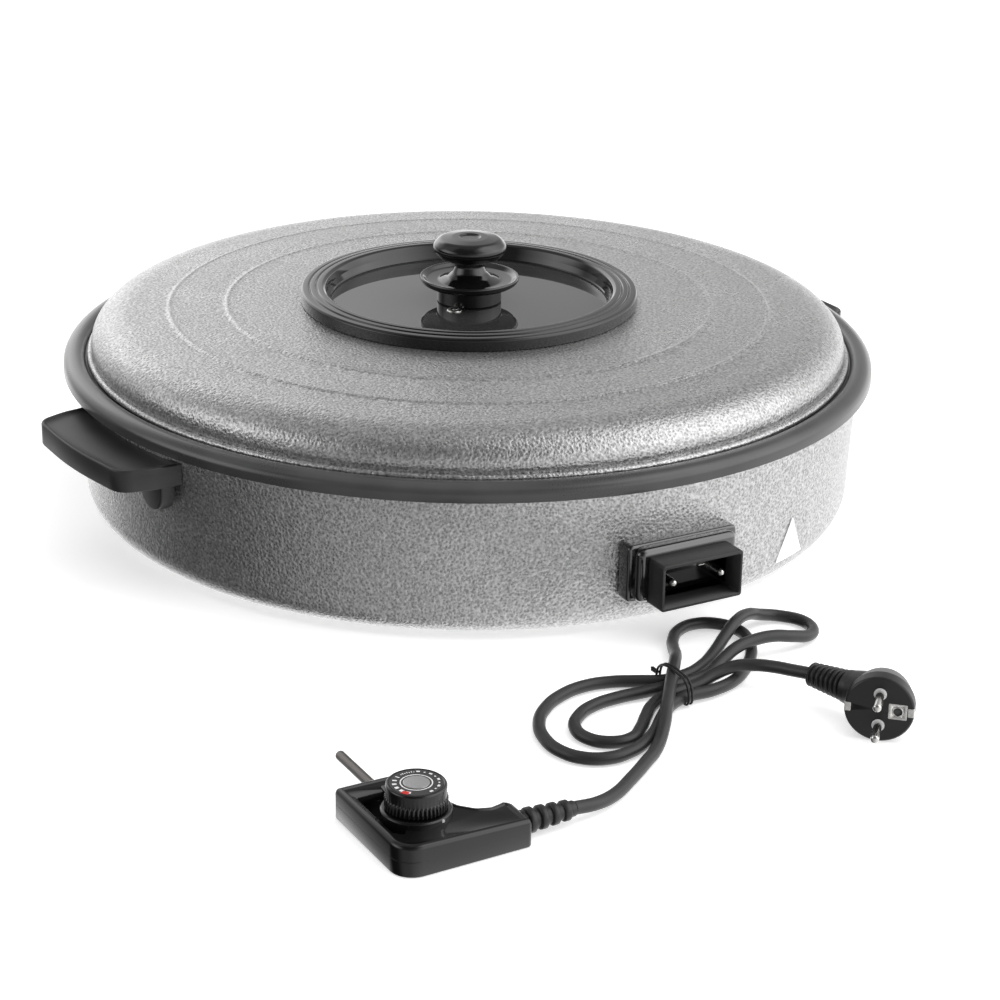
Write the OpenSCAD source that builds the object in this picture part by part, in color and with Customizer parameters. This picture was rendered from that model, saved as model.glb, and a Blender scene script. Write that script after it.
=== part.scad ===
// Round electric griddle with a domed lid, a glass window and a plug-in thermostat lead.
// Origin on the pan's axis, on the table. +Z is up and the power inlet faces -Y.

/* [Housing and pan] */
// Outside diameter of the pan's rim
rim_d = 540; // [520:2:560]
// Height of the rim's lower edge above the table
rim_edge_z = 94.5; // [92:0.5:98]
// Outside diameter of the housing under the rim
shell_top_d = 523; // [519:1:526]
// Height of the pan's cooking floor
floor_z = 54; // [53:0.5:58]
// Wall thickness of the pan
pan_t = 3.5; // [3:0.1:4]
// Sheet thickness of the housing
shell_t = 1.5; // [1:0.1:2]

/* [Lid] */
// Outside diameter of the lid's rolled edge
lid_d = 508.6; // [504:0.2:509]
// Height of the lid's flat collar round the window
collar_z = 133.2; // [131:0.2:136]
// Sheet thickness of the lid
lid_t = 1.2; // [0.8:0.1:1.5]
// Outside diameter of the window ring
ring_d = 225; // [215:1:235]
// Diameter of the window glass
glass_d = 194; // [190:1:196]
// Diameter of the knob
knob_d = 48.6; // [42:0.2:54]

/* [Handles] */
// Angle by which the handle line is turned towards the inlet
handle_turn = 6; // [0:1:10]
// Distance of the grip's outer edge from the pan's axis
grip_r = 297; // [292:1:305]
// Half the length of the grip's outer edge
grip_half = 50; // [44:1:56]

/* [Inlet] */
// Width of the inlet's hood
hood_w = 57; // [56:0.5:60]
// Height of the inlet's hood
hood_h = 29.4; // [28:0.2:31]
// Height of the pins and of the probe's bore above the table
inlet_z = 40; // [38:0.5:41]
// Diameter of the thermostat probe
probe_d = 5.6; // [5:0.1:6]

/* [Thermostat control] */
// Place of the dial's axis, left to right
ctrl_x = -262; // [-270:1:-255]
// Place of the dial's axis, front to back
ctrl_y = -423.5; // [-430:0.5:-420]
// Height of the control's housing
ctrl_h = 18; // [17:0.5:20]
// Diameter of the dial
dial_d = 32; // [28:0.5:34]

/* [Power cord] */
// Diameter of the power cord
cord_d = 7.4; // [7:0.1:7.4]

/* [Hidden] */
$fn = 96;

// Housing and pan
rim_r = rim_d / 2;
shell_top_r = shell_top_d / 2;
shell_z = 1.5;                 // lower edge of the housing
shell_corner = 18;             // radius of its lower corner
shell_low_r = 258;             // radius just above that corner
seat_z = 97.5;                  // top of the housing, under the pan's ledge
ledge_z = 101;                 // shelf that the lid stands on
pan_in_r = 246;                // inside radius of the pan's wall
pan_under_z = floor_z - pan_t;
cover_z = 3;
cover_t = 1.2;
cover_r = 237;
return_r = 226;                // inner edge of the housing's bottom flange
foot_off = 150;
foot_spots = concat([[0, 0, 0]], [for (x = [-1, 1], y = [-1, 1]) [x * foot_off, y * foot_off, 0]]);
standoff_r = 118;
heater_r = 165;
heater_wire_r = 4.2;
heater_z = pan_under_z - heater_wire_r - 0.1;
cold_end_x = 22;
clamp_angles = [35, 145, 215, 325];
standoff_angles = [30, 150, 270];

// Lid
lid_r = lid_d / 2;
lid_side_r = 251.3;
bead_r = 2.2;
shoulder_z = 108;
shoulder_r = 222;
crown_z = 129.6;
circle_r = [201, 163];         // pressed circles in the crown
collar_r = 114;
window_r = 101;
glass_r = glass_d / 2;
glass_z = collar_z - lid_t;    // top of the glass
glass_t = 4;
ring_r = ring_d / 2;
ring_top_z = collar_z + 9.6;
ring_screw_r = 104.5;
ring_screw_angles = [for (i = [0:5]) 30 + 60 * i];
vent_at = [-20.1, -16.5];
vent_r = 3;
knob_r = knob_d / 2;
guard_z = glass_z + 11;        // underside of the knob's guard plate
cap_z = glass_z + 28.5;        // underside of the knob cap

// Handles
grip_top_z = 88.5;
grip_low_z = 74;
grip_wall = 3;
boss_y = 46;
boss_r = 14;
boss_z = 70;
boss_len = 18;
handle_screw_z = 70;

// Inlet
plate_y = -268;
step_y = -275;
hood_y = -290;
hood_z = 39.8;
hood_wall = 2;
hood_floor_y = -265;
inlet_back_y = -248;
pin_x = 17;
pin_r = 2.4;
tail_r = 2;                    // the pins' radius inside their housings
pin_tip_y = -286;
pin_tail_y = -238;
inlet_screw_x = 33;
inlet_screw_z = 50;
probe_r = probe_d / 2;
guide_r = 3;

// Control
nose_w = 51;
nose_y = 42;
end_x = 50;
split_z = 9;
ctrl_wall = 2;
probe_z = 9;
probe_len = 48;
probe_tail_r = 2.2;            // its radius inside the housing
collar_top_z = ctrl_h + 2.6;
dial_h = 13.4;
dial_r = dial_d / 2;
relief_len = 32;
relief_y = -19.5;
relief_z = 8;

// Plug: its face looks along plug_turn, and the cord leaves it backwards and sideways
plug_at = [15.8, -443.6, 19.6];
plug_turn = 227;
plug_r = 19.5;
plug_pin_r = 2.4;
plug_pin_gap = 19;
plug_pin_len = 17.5;
sleeve_back = 30;
sleeve_from = [-20, -10, 0];
sleeve_len = 38;

// Route of the cord's centre line, from the control's strain relief to the plug's sleeve
on_table = cord_d / 2;
CORD_ROUTE = [
  [-180, -443, 8], [-165, -441, 6], [-149, -434, 4], [-132, -423, 3.7], [-116, -411.5, 3.7],
  [-101, -400, 4.4], [-89, -388, 9], [-79, -375, 12.4], [-66, -358, 13], [-53.5, -341.5, 13],
  [-42, -326.5, 12.4], [-32, -312, 8.4], [-24.5, -298.5, 4.8], [-17.5, -287, 3.7], [-7, -277, 3.7],
  [7, -273.5, 3.7], [19, -279.5, 3.7], [25, -291.5, 3.7], [24, -305, 3.7], [18, -317.5, 3.7],
  [9, -329.5, 3.7], [-2, -340, 3.7], [-16, -349.5, 3.7], [-34, -355, 4.4], [-54, -356, 5],
  [-67, -360.5, 4.4], [-79, -370.5, 3.8], [-90, -381.5, 3.7], [-102, -390.5, 3.7], [-116, -396.5, 3.7],
  [-130, -397.5, 3.7], [-142.5, -391, 3.7], [-149.5, -378, 3.7], [-149.5, -361, 3.7],
  [-143, -344, 3.7], [-131, -330, 3.7], [-115, -320, 3.7], [-97, -315.5, 3.7], [-80, -318, 3.7],
  [-66, -325.5, 4.4], [-54, -332.3, 5], [-38, -331.5, 4.6], [-22, -324.5, 3.7], [-6, -314, 4.8],
  [8, -304.5, 8.6], [21, -296.5, 12], [34, -289.5, 11], [47, -285.2, 6.4], [60, -288.6, 4],
  [67.6, -300, 3.7], [66.4, -312.5, 3.8], [57, -321, 5], [44, -323.5, 8.4], [30, -323, 11.4],
  [16, -323, 11.8], [2, -325.5, 11], [-12, -330.5, 7.4], [-26, -337, 4.8], [-40, -339.8, 4.8],
  [-54, -340.2, 5], [-70, -338.5, 4.2], [-87, -337, 3.7], [-104, -339, 3.7], [-118, -346, 3.7],
  [-128, -358, 3.7], [-128.5, -372, 3.7], [-120, -382, 3.7], [-107, -383.5, 3.7], [-96, -375.5, 3.7],
  [-86, -365, 3.7], [-76, -355.5, 4], [-65, -350, 4.6], [-54, -348.1, 5], [-40, -347.5, 5.6],
  [-27, -346, 9], [-15, -347.8, 12], [-5, -354.3, 13.4], [1.5, -363.5, 14.8], [6, -374.5, 16.4],
  [11, -386, 18]];

function arc(cx, cy, rx, ry, from, to, n) =
  [for (i = [0:n]) let (a = from + (to - from) * i / n) [cx + rx * cos(a), cy + ry * sin(a)]];
function unit2(v) = v / norm(v);
function turned(v) = [-v[1], v[0]];
// Direction of a path at point i
function heading(p, i) = unit2(p[min(i + 1, len(p) - 1)] - p[max(i - 1, 0)]);
// Outline of a sheet that follows path p, with its thickness t on the left
function sheet(p, t) =
  concat(p, [for (i = [len(p) - 1:-1:0]) p[i] + turned(heading(p, i)) * t]);

function shell_path() = concat(
  [[return_r, shell_z]],
  arc(shell_low_r - shell_corner, shell_z + shell_corner, shell_corner, shell_corner, -90, 0, 8),
  [[shell_top_r, seat_z - 3]],
  arc(shell_top_r - 3, seat_z - 3, 3, 3, 20, 90, 3),
  [[253.2, seat_z]]);

function pan_path() = concat(
  [[rim_r, rim_edge_z]],
  arc(rim_r - 9, rim_edge_z + 3.5, 9, 6.8, 15, 100, 6),
  [[257.5, 104.2], [255.6, ledge_z + 1], [253.5, ledge_z], [pan_in_r + 5, ledge_z - 0.5],
   [pan_in_r + 1.5, ledge_z - 4]],
  arc(pan_in_r - 15, floor_z + 15, 15, 15, 0, -90, 6),
  [[0, floor_z]]);

function lid_path() = concat(
  [[collar_r - 13, collar_z], [collar_r, collar_z]],
  [[circle_r[1] - 1, 131.9], [circle_r[1] + 0.6, 131.2], [circle_r[0] - 1, 130.4],
   [circle_r[0] + 0.6, 129.7]],
  arc(shoulder_r, shoulder_z, lid_side_r - shoulder_r, crown_z - shoulder_z - 0.6, 88, 0, 12),
  [[lid_side_r - 0.7, shoulder_z - 3], [lid_side_r + 0.5, ledge_z + bead_r]]);

module polar(angle, r, z = 0) {
  rotate(angle) translate([r, 0, z]) children();
}

// Screw with a domed head: shank up from z = 0, head below it
module screw(shank_r, shank_len, head_r, head_h) {
  cylinder(r = shank_r, h = shank_len, $fn = 32);
  translate([0, 0, -head_h]) cylinder(r1 = head_r * 0.8, r2 = head_r, h = head_h, $fn = 32);
}

module rounded_plate(w, h, t, r) {
  linear_extrude(t) hull()
    for (x = [-1, 1], y = [-1, 1]) translate([x * (w / 2 - r), y * (h / 2 - r)]) circle(r, $fn = 32);
}

// Stands a plate that lies in XY up, so that its thickness runs towards -Y from y0
module facing_front(y0, z) {
  translate([0, y0, z]) rotate([90, 0, 0]) children();
}

module handle_holes(r) {
  for (side = [0, 180], y = [-boss_y, boss_y]) rotate(180 + handle_turn + side)
    translate([240, y, handle_screw_z]) rotate([0, 90, 0]) cylinder(r = r, h = 30, $fn = 32);
}

module base_shell() {
  color([0.45, 0.45, 0.46]) difference() {
    rotate_extrude($fn = 180) polygon(sheet(shell_path(), shell_t));
    translate([-29, -270, 27]) cube([58, 20, 27]);
    for (x = [-1, 1]) translate([x * inlet_screw_x, -250, inlet_screw_z])
      rotate([90, 0, 0]) cylinder(r = 2, h = 20, $fn = 32);
    handle_holes(2.3);
  }
}

module pan() {
  color([0.2, 0.2, 0.21])
    rotate_extrude($fn = 180) polygon(sheet(pan_path(), pan_t));
}

// Half of the way from a cold end on to the heater's ring
heater_lead = [[cold_end_x, -214, heater_z], [cold_end_x, -186, heater_z], [cold_end_x + 2.5, -173, heater_z],
  [cold_end_x + 8, -164.5, heater_z]];
heater_turn = 77;
heater_steps = 44;

function mirrored(p) = [for (i = [len(p) - 1:-1:0]) [-p[i][0], p[i][1], p[i][2]]];
function heater_ring() = [for (i = [0:heater_steps])
  let (a = -heater_turn + (180 + 2 * heater_turn) * i / heater_steps)
  [heater_r * cos(a), heater_r * sin(a), heater_z]];

module heating_element() {
  color([0.3, 0.28, 0.27])
    swept_tube(concat(heater_lead, heater_ring(), mirrored(heater_lead)), heater_wire_r, 12);
}

module element_clamps() {
  half = heater_wire_r + 0.6;
  color("silver") for (a = clamp_angles) polar(a, heater_r) {
    translate([-half - 2, -6, heater_z - half - 1.5]) cube([2 * half + 4, 12, 1.5]);
    for (x = [-half - 2, half])
      translate([x, -6, heater_z - half - 1.5]) cube([2, 12, pan_under_z - heater_z + half + 1.5]);
  }
}

module probe_guide() {
  tube_y = -206;
  color("silver") difference() {
    union() {
      translate([0, tube_y, inlet_z]) rotate([90, 0, 0]) cylinder(r = 5.5, h = 40, $fn = 48);
      translate([-9, tube_y - 34, inlet_z]) cube([18, 28, pan_under_z - inlet_z]);
    }
    translate([0, tube_y - 3, inlet_z]) rotate([90, 0, 0]) cylinder(r = guide_r, h = 60, $fn = 48);
  }
}

// Solid of revolution that fills the housing's outside, with a little play
module housing_envelope(play) {
  rotate_extrude($fn = 180) polygon([[0, 0], [shell_low_r + play, 0], [shell_low_r + play, shell_z + shell_corner],
    [shell_top_r + play, seat_z - 3], [0, seat_z - 3]]);
}

module inlet_housing() {
  color([0.06, 0.06, 0.06]) difference() {
    union() {
      difference() {
        union() {
          facing_front(-250, 42.5) rounded_plate(77, 37, -plate_y - 250, 3);
          facing_front(-250, 42.3) rounded_plate(68, 34.5, -step_y - 250, 4);
          translate([-hood_w / 2, hood_y, hood_z - hood_h / 2]) cube([hood_w, 40, hood_h]);
        }
        housing_envelope(0.15);
      }
      translate([-27, -262, 29]) cube([54, -inlet_back_y - -262 - 2 * -inlet_back_y, 23]);
    }
    translate([-hood_w / 2 + hood_wall, hood_y - 1, hood_z - hood_h / 2 + hood_wall])
      cube([hood_w - 2 * hood_wall, hood_floor_y - hood_y + 1, hood_h - 2 * hood_wall]);
    translate([0, -240, inlet_z]) rotate([90, 0, 0]) cylinder(r = 4.2, h = 60, $fn = 48);
    for (x = [-1, 1]) {
      translate([x * pin_x, -240, inlet_z]) rotate([90, 0, 0]) cylinder(r = tail_r, h = 40, $fn = 32);
      translate([x * inlet_screw_x, -240, inlet_screw_z]) rotate([90, 0, 0])
        cylinder(r = 1.4, h = 31, $fn = 32);
    }
    translate([-4.1, -270, 47.6]) cube([8.2, 40, 1.2]);
  }
}

module inlet_pins() {
  free_len = hood_floor_y - pin_tip_y - pin_r;
  color("gainsboro") for (x = [-1, 1]) translate([x * pin_x, hood_floor_y, inlet_z]) rotate([90, 0, 0]) {
    translate([0, 0, hood_floor_y - pin_tail_y]) cylinder(r = tail_r, h = pin_tail_y - hood_floor_y, $fn = 32);
    cylinder(r = pin_r, h = free_len, $fn = 32);
    translate([0, 0, free_len]) intersection() {
      sphere(pin_r, $fn = 32);
      cylinder(r = pin_r, h = pin_r, $fn = 32);
    }
  }
}

module inlet_earth_clip() {
  color("gainsboro") {
    translate([-4, -276, 47.8]) cube([8, 34, 0.8]);
    translate([-4, -276, 46]) cube([8, 1, 1.8]);
  }
}

module inlet_clamp_plate() {
  color("silver") difference() {
    translate([-38, -246, 28]) cube([76, 1.5, 27]);
    translate([-27.3, -250, 28.7]) cube([54.6, 10, 23.6]);
    for (x = [-1, 1]) translate([x * inlet_screw_x, -240, inlet_screw_z]) rotate([90, 0, 0])
      cylinder(r = 2, h = 10, $fn = 32);
  }
}

module inlet_screws() {
  color("silver") for (x = [-1, 1]) translate([x * inlet_screw_x, -244.4, inlet_screw_z])
    rotate([90, 0, 0]) screw(1.4, 22, 3.2, 2);
}

module supply_wires() {
  color("white") for (x = [-1, 1])
    swept_tube([[x * pin_x, pin_tail_y + 0.4, inlet_z], [x * pin_x, -233, inlet_z + 0.5],
      [x * (pin_x + 2), -226, inlet_z + 2.5], [x * cold_end_x, -220, heater_z - 0.5],
      [x * cold_end_x, -214.1, heater_z]], 1.7, 8);
}

module earth_wire() {
  color("green") swept_tube([[1.5, -241.05, 48.2], [6, -241.05, 48.4], [12, -240.9, 48.6], [25, -236, 48.8],
    [40, -230, 48.9], [58, -222, 49], [80, -205, 49.2]], 0.9, 8);
}

module standoffs() {
  color("silver") for (a = standoff_angles) polar(a, standoff_r) difference() {
    translate([0, 0, cover_z + cover_t]) cylinder(r = 5, h = pan_under_z - cover_z - cover_t, $fn = 6);
    translate([0, 0, cover_z]) cylinder(r = 1.9, h = 16, $fn = 24);
  }
}

module bottom_cover() {
  color([0.55, 0.55, 0.56]) translate([0, 0, cover_z]) difference() {
    cylinder(r = cover_r, h = cover_t, $fn = 180);
    for (a = standoff_angles) polar(a, standoff_r, -1) cylinder(r = 2.3, h = 4, $fn = 32);
    for (p = foot_spots) translate([p[0], p[1], -1]) cylinder(r = 3.2, h = 4, $fn = 32);
    for (i = [0:7]) polar(45 * i, 60, -1) translate([-2.5, -15, 0]) cube([5, 30, 4]);
  }
}

module cover_screws() {
  color("silver") for (a = standoff_angles) polar(a, standoff_r, cover_z) screw(1.9, 14, 4, 1.8);
}

module feet() {
  color([0.1, 0.1, 0.1]) for (p = foot_spots) translate(p) {
    cylinder(r1 = 8.4, r2 = 9, h = cover_z, $fn = 48);
    cylinder(r = 3.1, h = cover_z + cover_t + 1, $fn = 32);
    translate([0, 0, cover_z + cover_t]) cylinder(r1 = 5, r2 = 3.6, h = 1.8, $fn = 32);
  }
}

// Outline of one grip seen from above, outer edge towards +X
module grip_outline(inset) {
  hull() {
    for (y = [-1, 1]) {
      translate([grip_r - 9, y * (grip_half - 9)]) circle(9 - inset, $fn = 32);
      translate([252, y * (grip_half + 3)]) circle(9 - inset, $fn = 32);
    }
    translate([grip_r - 38, 0]) circle(40 - inset, $fn = 64);
  }
}

module handle() {
  color([0.05, 0.05, 0.05]) difference() {
    union() {
      difference() {
        translate([0, 0, grip_low_z]) linear_extrude(grip_top_z - grip_low_z) grip_outline(0);
        translate([0, 0, grip_low_z - 1]) linear_extrude(grip_top_z - grip_low_z - 3) grip_outline(grip_wall);
        translate([0, 0, grip_top_z - 1.2]) linear_extrude(2) grip_outline(2.4);
        translate([236, -34, grip_low_z - 1]) cube([28, 68, 11]);
      }
      for (y = [-1, 1]) translate([250, y * boss_y, boss_z]) rotate([0, 90, 0]) {
        cylinder(r = boss_r, h = boss_len, $fn = 64);
        translate([-grip_top_z + boss_z + 3, -boss_r, 0]) cube([grip_top_z - boss_z - 3, 2 * boss_r, boss_len]);
      }
    }
    housing_envelope(0.15);
    translate([0, 0, grip_top_z]) cylinder(r = rim_r + 1.5, h = 20, $fn = 180);
    for (y = [-1, 1]) translate([250, y * boss_y, handle_screw_z]) rotate([0, 90, 0])
      cylinder(r = 1.8, h = boss_len - 1.5, $fn = 32);
  }
}

module handle_left() { rotate(180 + handle_turn) handle(); }
module handle_right() { rotate(handle_turn) handle(); }

module at_handle_screws() {
  for (side = [0, 180], y = [-boss_y, boss_y]) rotate(handle_turn + side)
    translate([0, y, handle_screw_z]) rotate([0, 90, 0]) children();
}

module handle_washers() {
  color("silver") at_handle_screws() translate([0, 0, 252.2]) difference() {
    cylinder(r = 6, h = 1, $fn = 32);
    translate([0, 0, -1]) cylinder(r = 2.2, h = 3, $fn = 32);
  }
}

module handle_screws() {
  color("silver") at_handle_screws() translate([0, 0, 252.1]) screw(1.8, 14, 3.8, 2.4);
}

module triangle_label() {
  label_angle = -90 + 23;
  color("white") intersection() {
    rotate(label_angle) translate([240, 0, 16]) rotate([90, 0, 90]) linear_extrude(30)
      polygon([[-15, 0], [15, 0], [0, 27]]);
    difference() {
      housing_envelope(0.4);
      housing_envelope(0.05);
    }
  }
}

module lid_shell() {
  color([0.5, 0.5, 0.51]) difference() {
    union() {
      rotate_extrude($fn = 180) polygon(sheet(lid_path(), -lid_t));
      rotate_extrude($fn = 180) polygon(arc(lid_r - bead_r, ledge_z + bead_r, bead_r, bead_r, 0, 345, 23));
    }
    for (a = ring_screw_angles) polar(a, ring_screw_r, collar_z - 3) cylinder(r = 1.9, h = 6, $fn = 32);
  }
}

module lid_glass() {
  color([0.3, 0.3, 0.32, 0.6]) translate([0, 0, glass_z - glass_t]) difference() {
    cylinder(r = glass_r, h = glass_t, $fn = 180);
    translate([0, 0, -1]) cylinder(r = 3.6, h = glass_t + 2, $fn = 32);
    translate([vent_at[0], vent_at[1], -1]) cylinder(r = vent_r + 0.1, h = glass_t + 2, $fn = 32);
  }
}

module window_ring() {
  z = collar_z;
  color([0.04, 0.04, 0.04]) difference() {
    rotate_extrude($fn = 180) polygon(concat(
      [[92.6, glass_z + 0.8], [window_r - 0.4, glass_z + 0.8], [window_r - 0.4, z], [ring_r - 0.8, z],
       [ring_r, z + 1], [ring_r, z + 7.6], [ring_r - 1.2, z + 8.6], [ring_r - 4.8, z + 8.7],
       [ring_r - 5.6, z + 8.2], [ring_r - 6.4, z + 9.2], [ring_r - 9.6, z + 9.3],
       [ring_r - 10.4, z + 8.8], [ring_r - 11.2, z + 9.6], [ring_r - 15, z + 9.6]],
      arc(ring_r - 15, z + 8.1, 1.5, 1.5, 90, 180, 3)));
    for (a = ring_screw_angles) polar(a, ring_screw_r, z - 1) cylinder(r = 1.5, h = 7, $fn = 32);
  }
}

module window_clamp_ring() {
  color([0.07, 0.07, 0.07]) difference() {
    rotate_extrude($fn = 180) polygon([[91, glass_z - 8], [109, glass_z - 8], [110, glass_z - 7],
      [110, glass_z], [glass_r + 0.6, glass_z], [glass_r + 0.6, glass_z - glass_t], [91, glass_z - glass_t]]);
    for (a = ring_screw_angles) polar(a, ring_screw_r, glass_z - 9) cylinder(r = 1.7, h = 12, $fn = 32);
  }
}

module window_gasket() {
  color([0.15, 0.15, 0.15]) translate([0, 0, glass_z]) difference() {
    cylinder(r = glass_r - 0.6, h = 0.8, $fn = 180);
    translate([0, 0, -1]) cylinder(r = 92.8, h = 3, $fn = 180);
  }
}

module ring_screws() {
  color("silver") for (a = ring_screw_angles) polar(a, ring_screw_r, glass_z - 8) screw(1.45, 13, 2.8, 1.6);
}

module vent_eyelet() {
  color("gainsboro") translate([vent_at[0], vent_at[1], glass_z - glass_t - 0.8]) difference() {
    union() {
      cylinder(r = vent_r, h = glass_t + 1.6, $fn = 32);
      cylinder(r = 5, h = 0.8, $fn = 32);
      translate([0, 0, glass_t + 0.8]) cylinder(r1 = 5.2, r2 = 4.2, h = 1.3, $fn = 32);
    }
    translate([0, 0, -1]) cylinder(r = 1.8, h = glass_t + 6, $fn = 32);
  }
}

module knob_base() {
  z = glass_z;
  color([0.05, 0.05, 0.05]) difference() {
    rotate_extrude($fn = 96) polygon([[0, z], [20.5, z], [21.5, z + 1], [21.5, guard_z],
      [30, guard_z + 0.6], [32.6, guard_z + 2.6], [33.2, guard_z + 5], [32.6, guard_z + 6.2],
      [31.4, guard_z + 5.8], [29, guard_z + 3.6], [20.5, guard_z + 3.2], [12, guard_z + 8.2],
      [9.6, guard_z + 11], [9.4, cap_z], [0, cap_z]]);
    translate([0, 0, z - 1]) cylinder(r = 2.7, h = 60, $fn = 32);
  }
}

module knob_cap() {
  z = cap_z;
  color([0.05, 0.05, 0.05]) difference() {
    rotate_extrude($fn = 96) polygon(concat(
      [[0, z], [10, z]],
      arc(knob_r - 7, z + 8.2, 7, 7.2, -70, 0, 6),
      arc(knob_r - 8, z + 9, 8, 5.4, 0, 80, 6),
      [[7.2, z + 15.8], [6.4, z + 14.8], [0, z + 14.8]]));
    translate([0, 0, z - 1]) cylinder(r = 2.5, h = 10.5, $fn = 32);
  }
}

module knob_screw() {
  color("silver") translate([0, 0, glass_z - glass_t - 2.1]) screw(2.5, cap_z - glass_z + glass_t + 10, 5, 3);
}

module knob_washers() {
  color("silver") difference() {
    union() {
      translate([0, 0, glass_z - glass_t - 0.9]) cylinder(r = 13, h = 0.9, $fn = 48);
      translate([0, 0, glass_z - glass_t - 2.1]) cylinder(r = 10, h = 1.2, $fn = 48);
    }
    translate([0, 0, glass_z - glass_t - 4]) cylinder(r = 2.7, h = 6, $fn = 32);
  }
}

// Footprint of the thermostat control, around the dial's axis
module control_outline() {
  polygon(concat(
    [[-26, nose_y], [nose_w - 26, nose_y], [nose_w - 26, 30], [21, 22], [19.5, 8], [23, -2], [30, -8.5],
     [37, -10.5], [43, -9], [46, -7.5], [49, -9], [end_x, -12], [end_x, -32.6]],
    arc(-13, -20.5, 13, 13, -90, -180, 6)));
}

module at_control() {
  translate([ctrl_x, ctrl_y, 0]) children();
}

module control_recess() {
  polygon([[-19.5, -12], [-15.5, -16], [-15.5, 30], [-19.5, 30]]);
  difference() {
    polygon([[-16, -14], [-4, 12], [-2, 30], [-16, 30]]);
    circle(19.5, $fn = 64);
  }
}

module control_cavity() {
  room_z = 11.8;
  translate([0, 0, ctrl_wall]) {
    translate([-13, 21, 0]) cube([26, 18, room_z - ctrl_wall]);
    translate([-18, 7, 0]) cube([35.5, 14.5, room_z - ctrl_wall]);
    translate([-11, -29, 0]) cube([49, 16, room_z - ctrl_wall]);
    translate([37, -24, 0]) cube([10, 9, room_z - ctrl_wall]);
    cylinder(r = 14.5, h = collar_top_z - 9.9 - ctrl_wall, $fn = 48);
  }
}

module sloped_top() {
  translate([20, -60, ctrl_h]) rotate([0, 4, 0]) cube([60, 60, 10]);
}

module nose_bores() {
  translate([0, nose_y + 1, probe_z]) rotate([90, 0, 0]) cylinder(r = probe_tail_r, h = 18, $fn = 32);
  for (x = [-1, 1]) translate([x * pin_x, nose_y + 1, probe_z]) rotate([90, 0, 0])
    cylinder(r = 3.4, h = 23, $fn = 32);
}

module relief_bore() {
  translate([end_x - 4, relief_y, relief_z]) rotate([0, 90, 0]) cylinder(r = 4.4, h = 8, $fn = 32);
}

module control_screw_spots() {
  for (p = [[-22.4, 8], [43.5, -28.5], [-16, -25]]) translate([p[0], p[1], 0]) children();
}

module control_lower() {
  color([0.06, 0.06, 0.06]) at_control() difference() {
    linear_extrude(split_z) control_outline();
    control_cavity();
    nose_bores();
    relief_bore();
    control_screw_spots() {
      translate([0, 0, -1]) cylinder(r = 2.9, h = 3.4, $fn = 24);
      cylinder(r = 1.6, h = 12, $fn = 24);
    }
  }
}

module control_upper() {
  color([0.06, 0.06, 0.06]) at_control() difference() {
    union() {
      translate([0, 0, split_z]) linear_extrude(ctrl_h - split_z) control_outline();
      translate([0, 0, split_z]) cylinder(r = 18.6, h = collar_top_z - split_z, $fn = 96);
    }
    control_cavity();
    translate([0, 0, ctrl_h - 4.6]) linear_extrude(6) control_recess();
    sloped_top();
    nose_bores();
    relief_bore();
    cylinder(r = 3.06, h = 40, $fn = 48);
    control_screw_spots() cylinder(r = 1.25, h = split_z + 4.5, $fn = 24);
  }
}

module control_screws() {
  color("silver") at_control() control_screw_spots() translate([0, 0, 2.3]) screw(1.25, 10, 2.7, 1.8);
}

module probe() {
  free_len = probe_len - probe_r;
  color([0.6, 0.6, 0.6]) at_control() translate([0, nose_y, probe_z]) rotate([-90, 0, 0]) {
    translate([0, 0, -15]) cylinder(r = probe_tail_r, h = 15, $fn = 32);
    cylinder(r = probe_r, h = free_len, $fn = 32);
    translate([0, 0, free_len]) intersection() {
      sphere(probe_r, $fn = 32);
      cylinder(r = probe_r, h = probe_r, $fn = 32);
    }
  }
}

module contact_sockets() {
  color("gold") at_control() for (x = [-1, 1]) translate([x * pin_x, nose_y - 2, probe_z])
    rotate([90, 0, 0]) difference() {
      cylinder(r = 3.3, h = 19, $fn = 32);
      translate([0, 0, -1]) cylinder(r = 2.5, h = 17, $fn = 32);
    }
}

module thermostat_frame() {
  color("silver") at_control() {
    difference() {
      translate([-7, 5, 5.6]) cube([14, 21.8, 1.2]);
      translate([0, 12, 0]) cylinder(r = 1.6, h = 20, $fn = 24);
    }
    translate([-7, 25.6, 5.6]) cube([14, 1.2, 5.8]);
  }
}

module bimetal_blade() {
  color("peru") at_control() {
    translate([-3, 6, 8.4]) cube([6, 19.4, 0.6]);
    translate([-3, 22.4, 6.9]) cube([6, 3, 1.5]);
  }
}

module switch_contacts() {
  color("gainsboro") at_control() {
    translate([0, 9.4, 9.1]) cylinder(r = 1.8, h = 1, $fn = 24);
    translate([-5.5, 7.1, 10.1]) cube([11, 4.8, 1]);
  }
}

module lead_wires() {
  color("peru") at_control() {
    swept_tube([[16, nose_y - 22.2, 7.6], [15, 15, 6], [10, 7, 4], [6, -2, 3.7], [3, -10, 3.7],
      [5, -16.5, 4], [26, -17.6, 6.6], [42, -18, 7.6]], 1.3, 8);
    swept_tube([[-16, nose_y - 22.2, 7.6], [-15, 15, 6], [-10, 7, 4], [-6, -2, 3.7],
      [-4, -14, 3.7], [2, -20.6, 4], [26, -21.4, 6.6], [42, -21.2, 7.6]], 1.3, 8);
  }
}

module cord_clamp() {
  color("silver") at_control() {
    translate([30, -28, 3]) cube([6, 15, 1.5]);
    translate([30, -28, 9.6]) cube([6, 15, 1.5]);
  }
}

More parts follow.
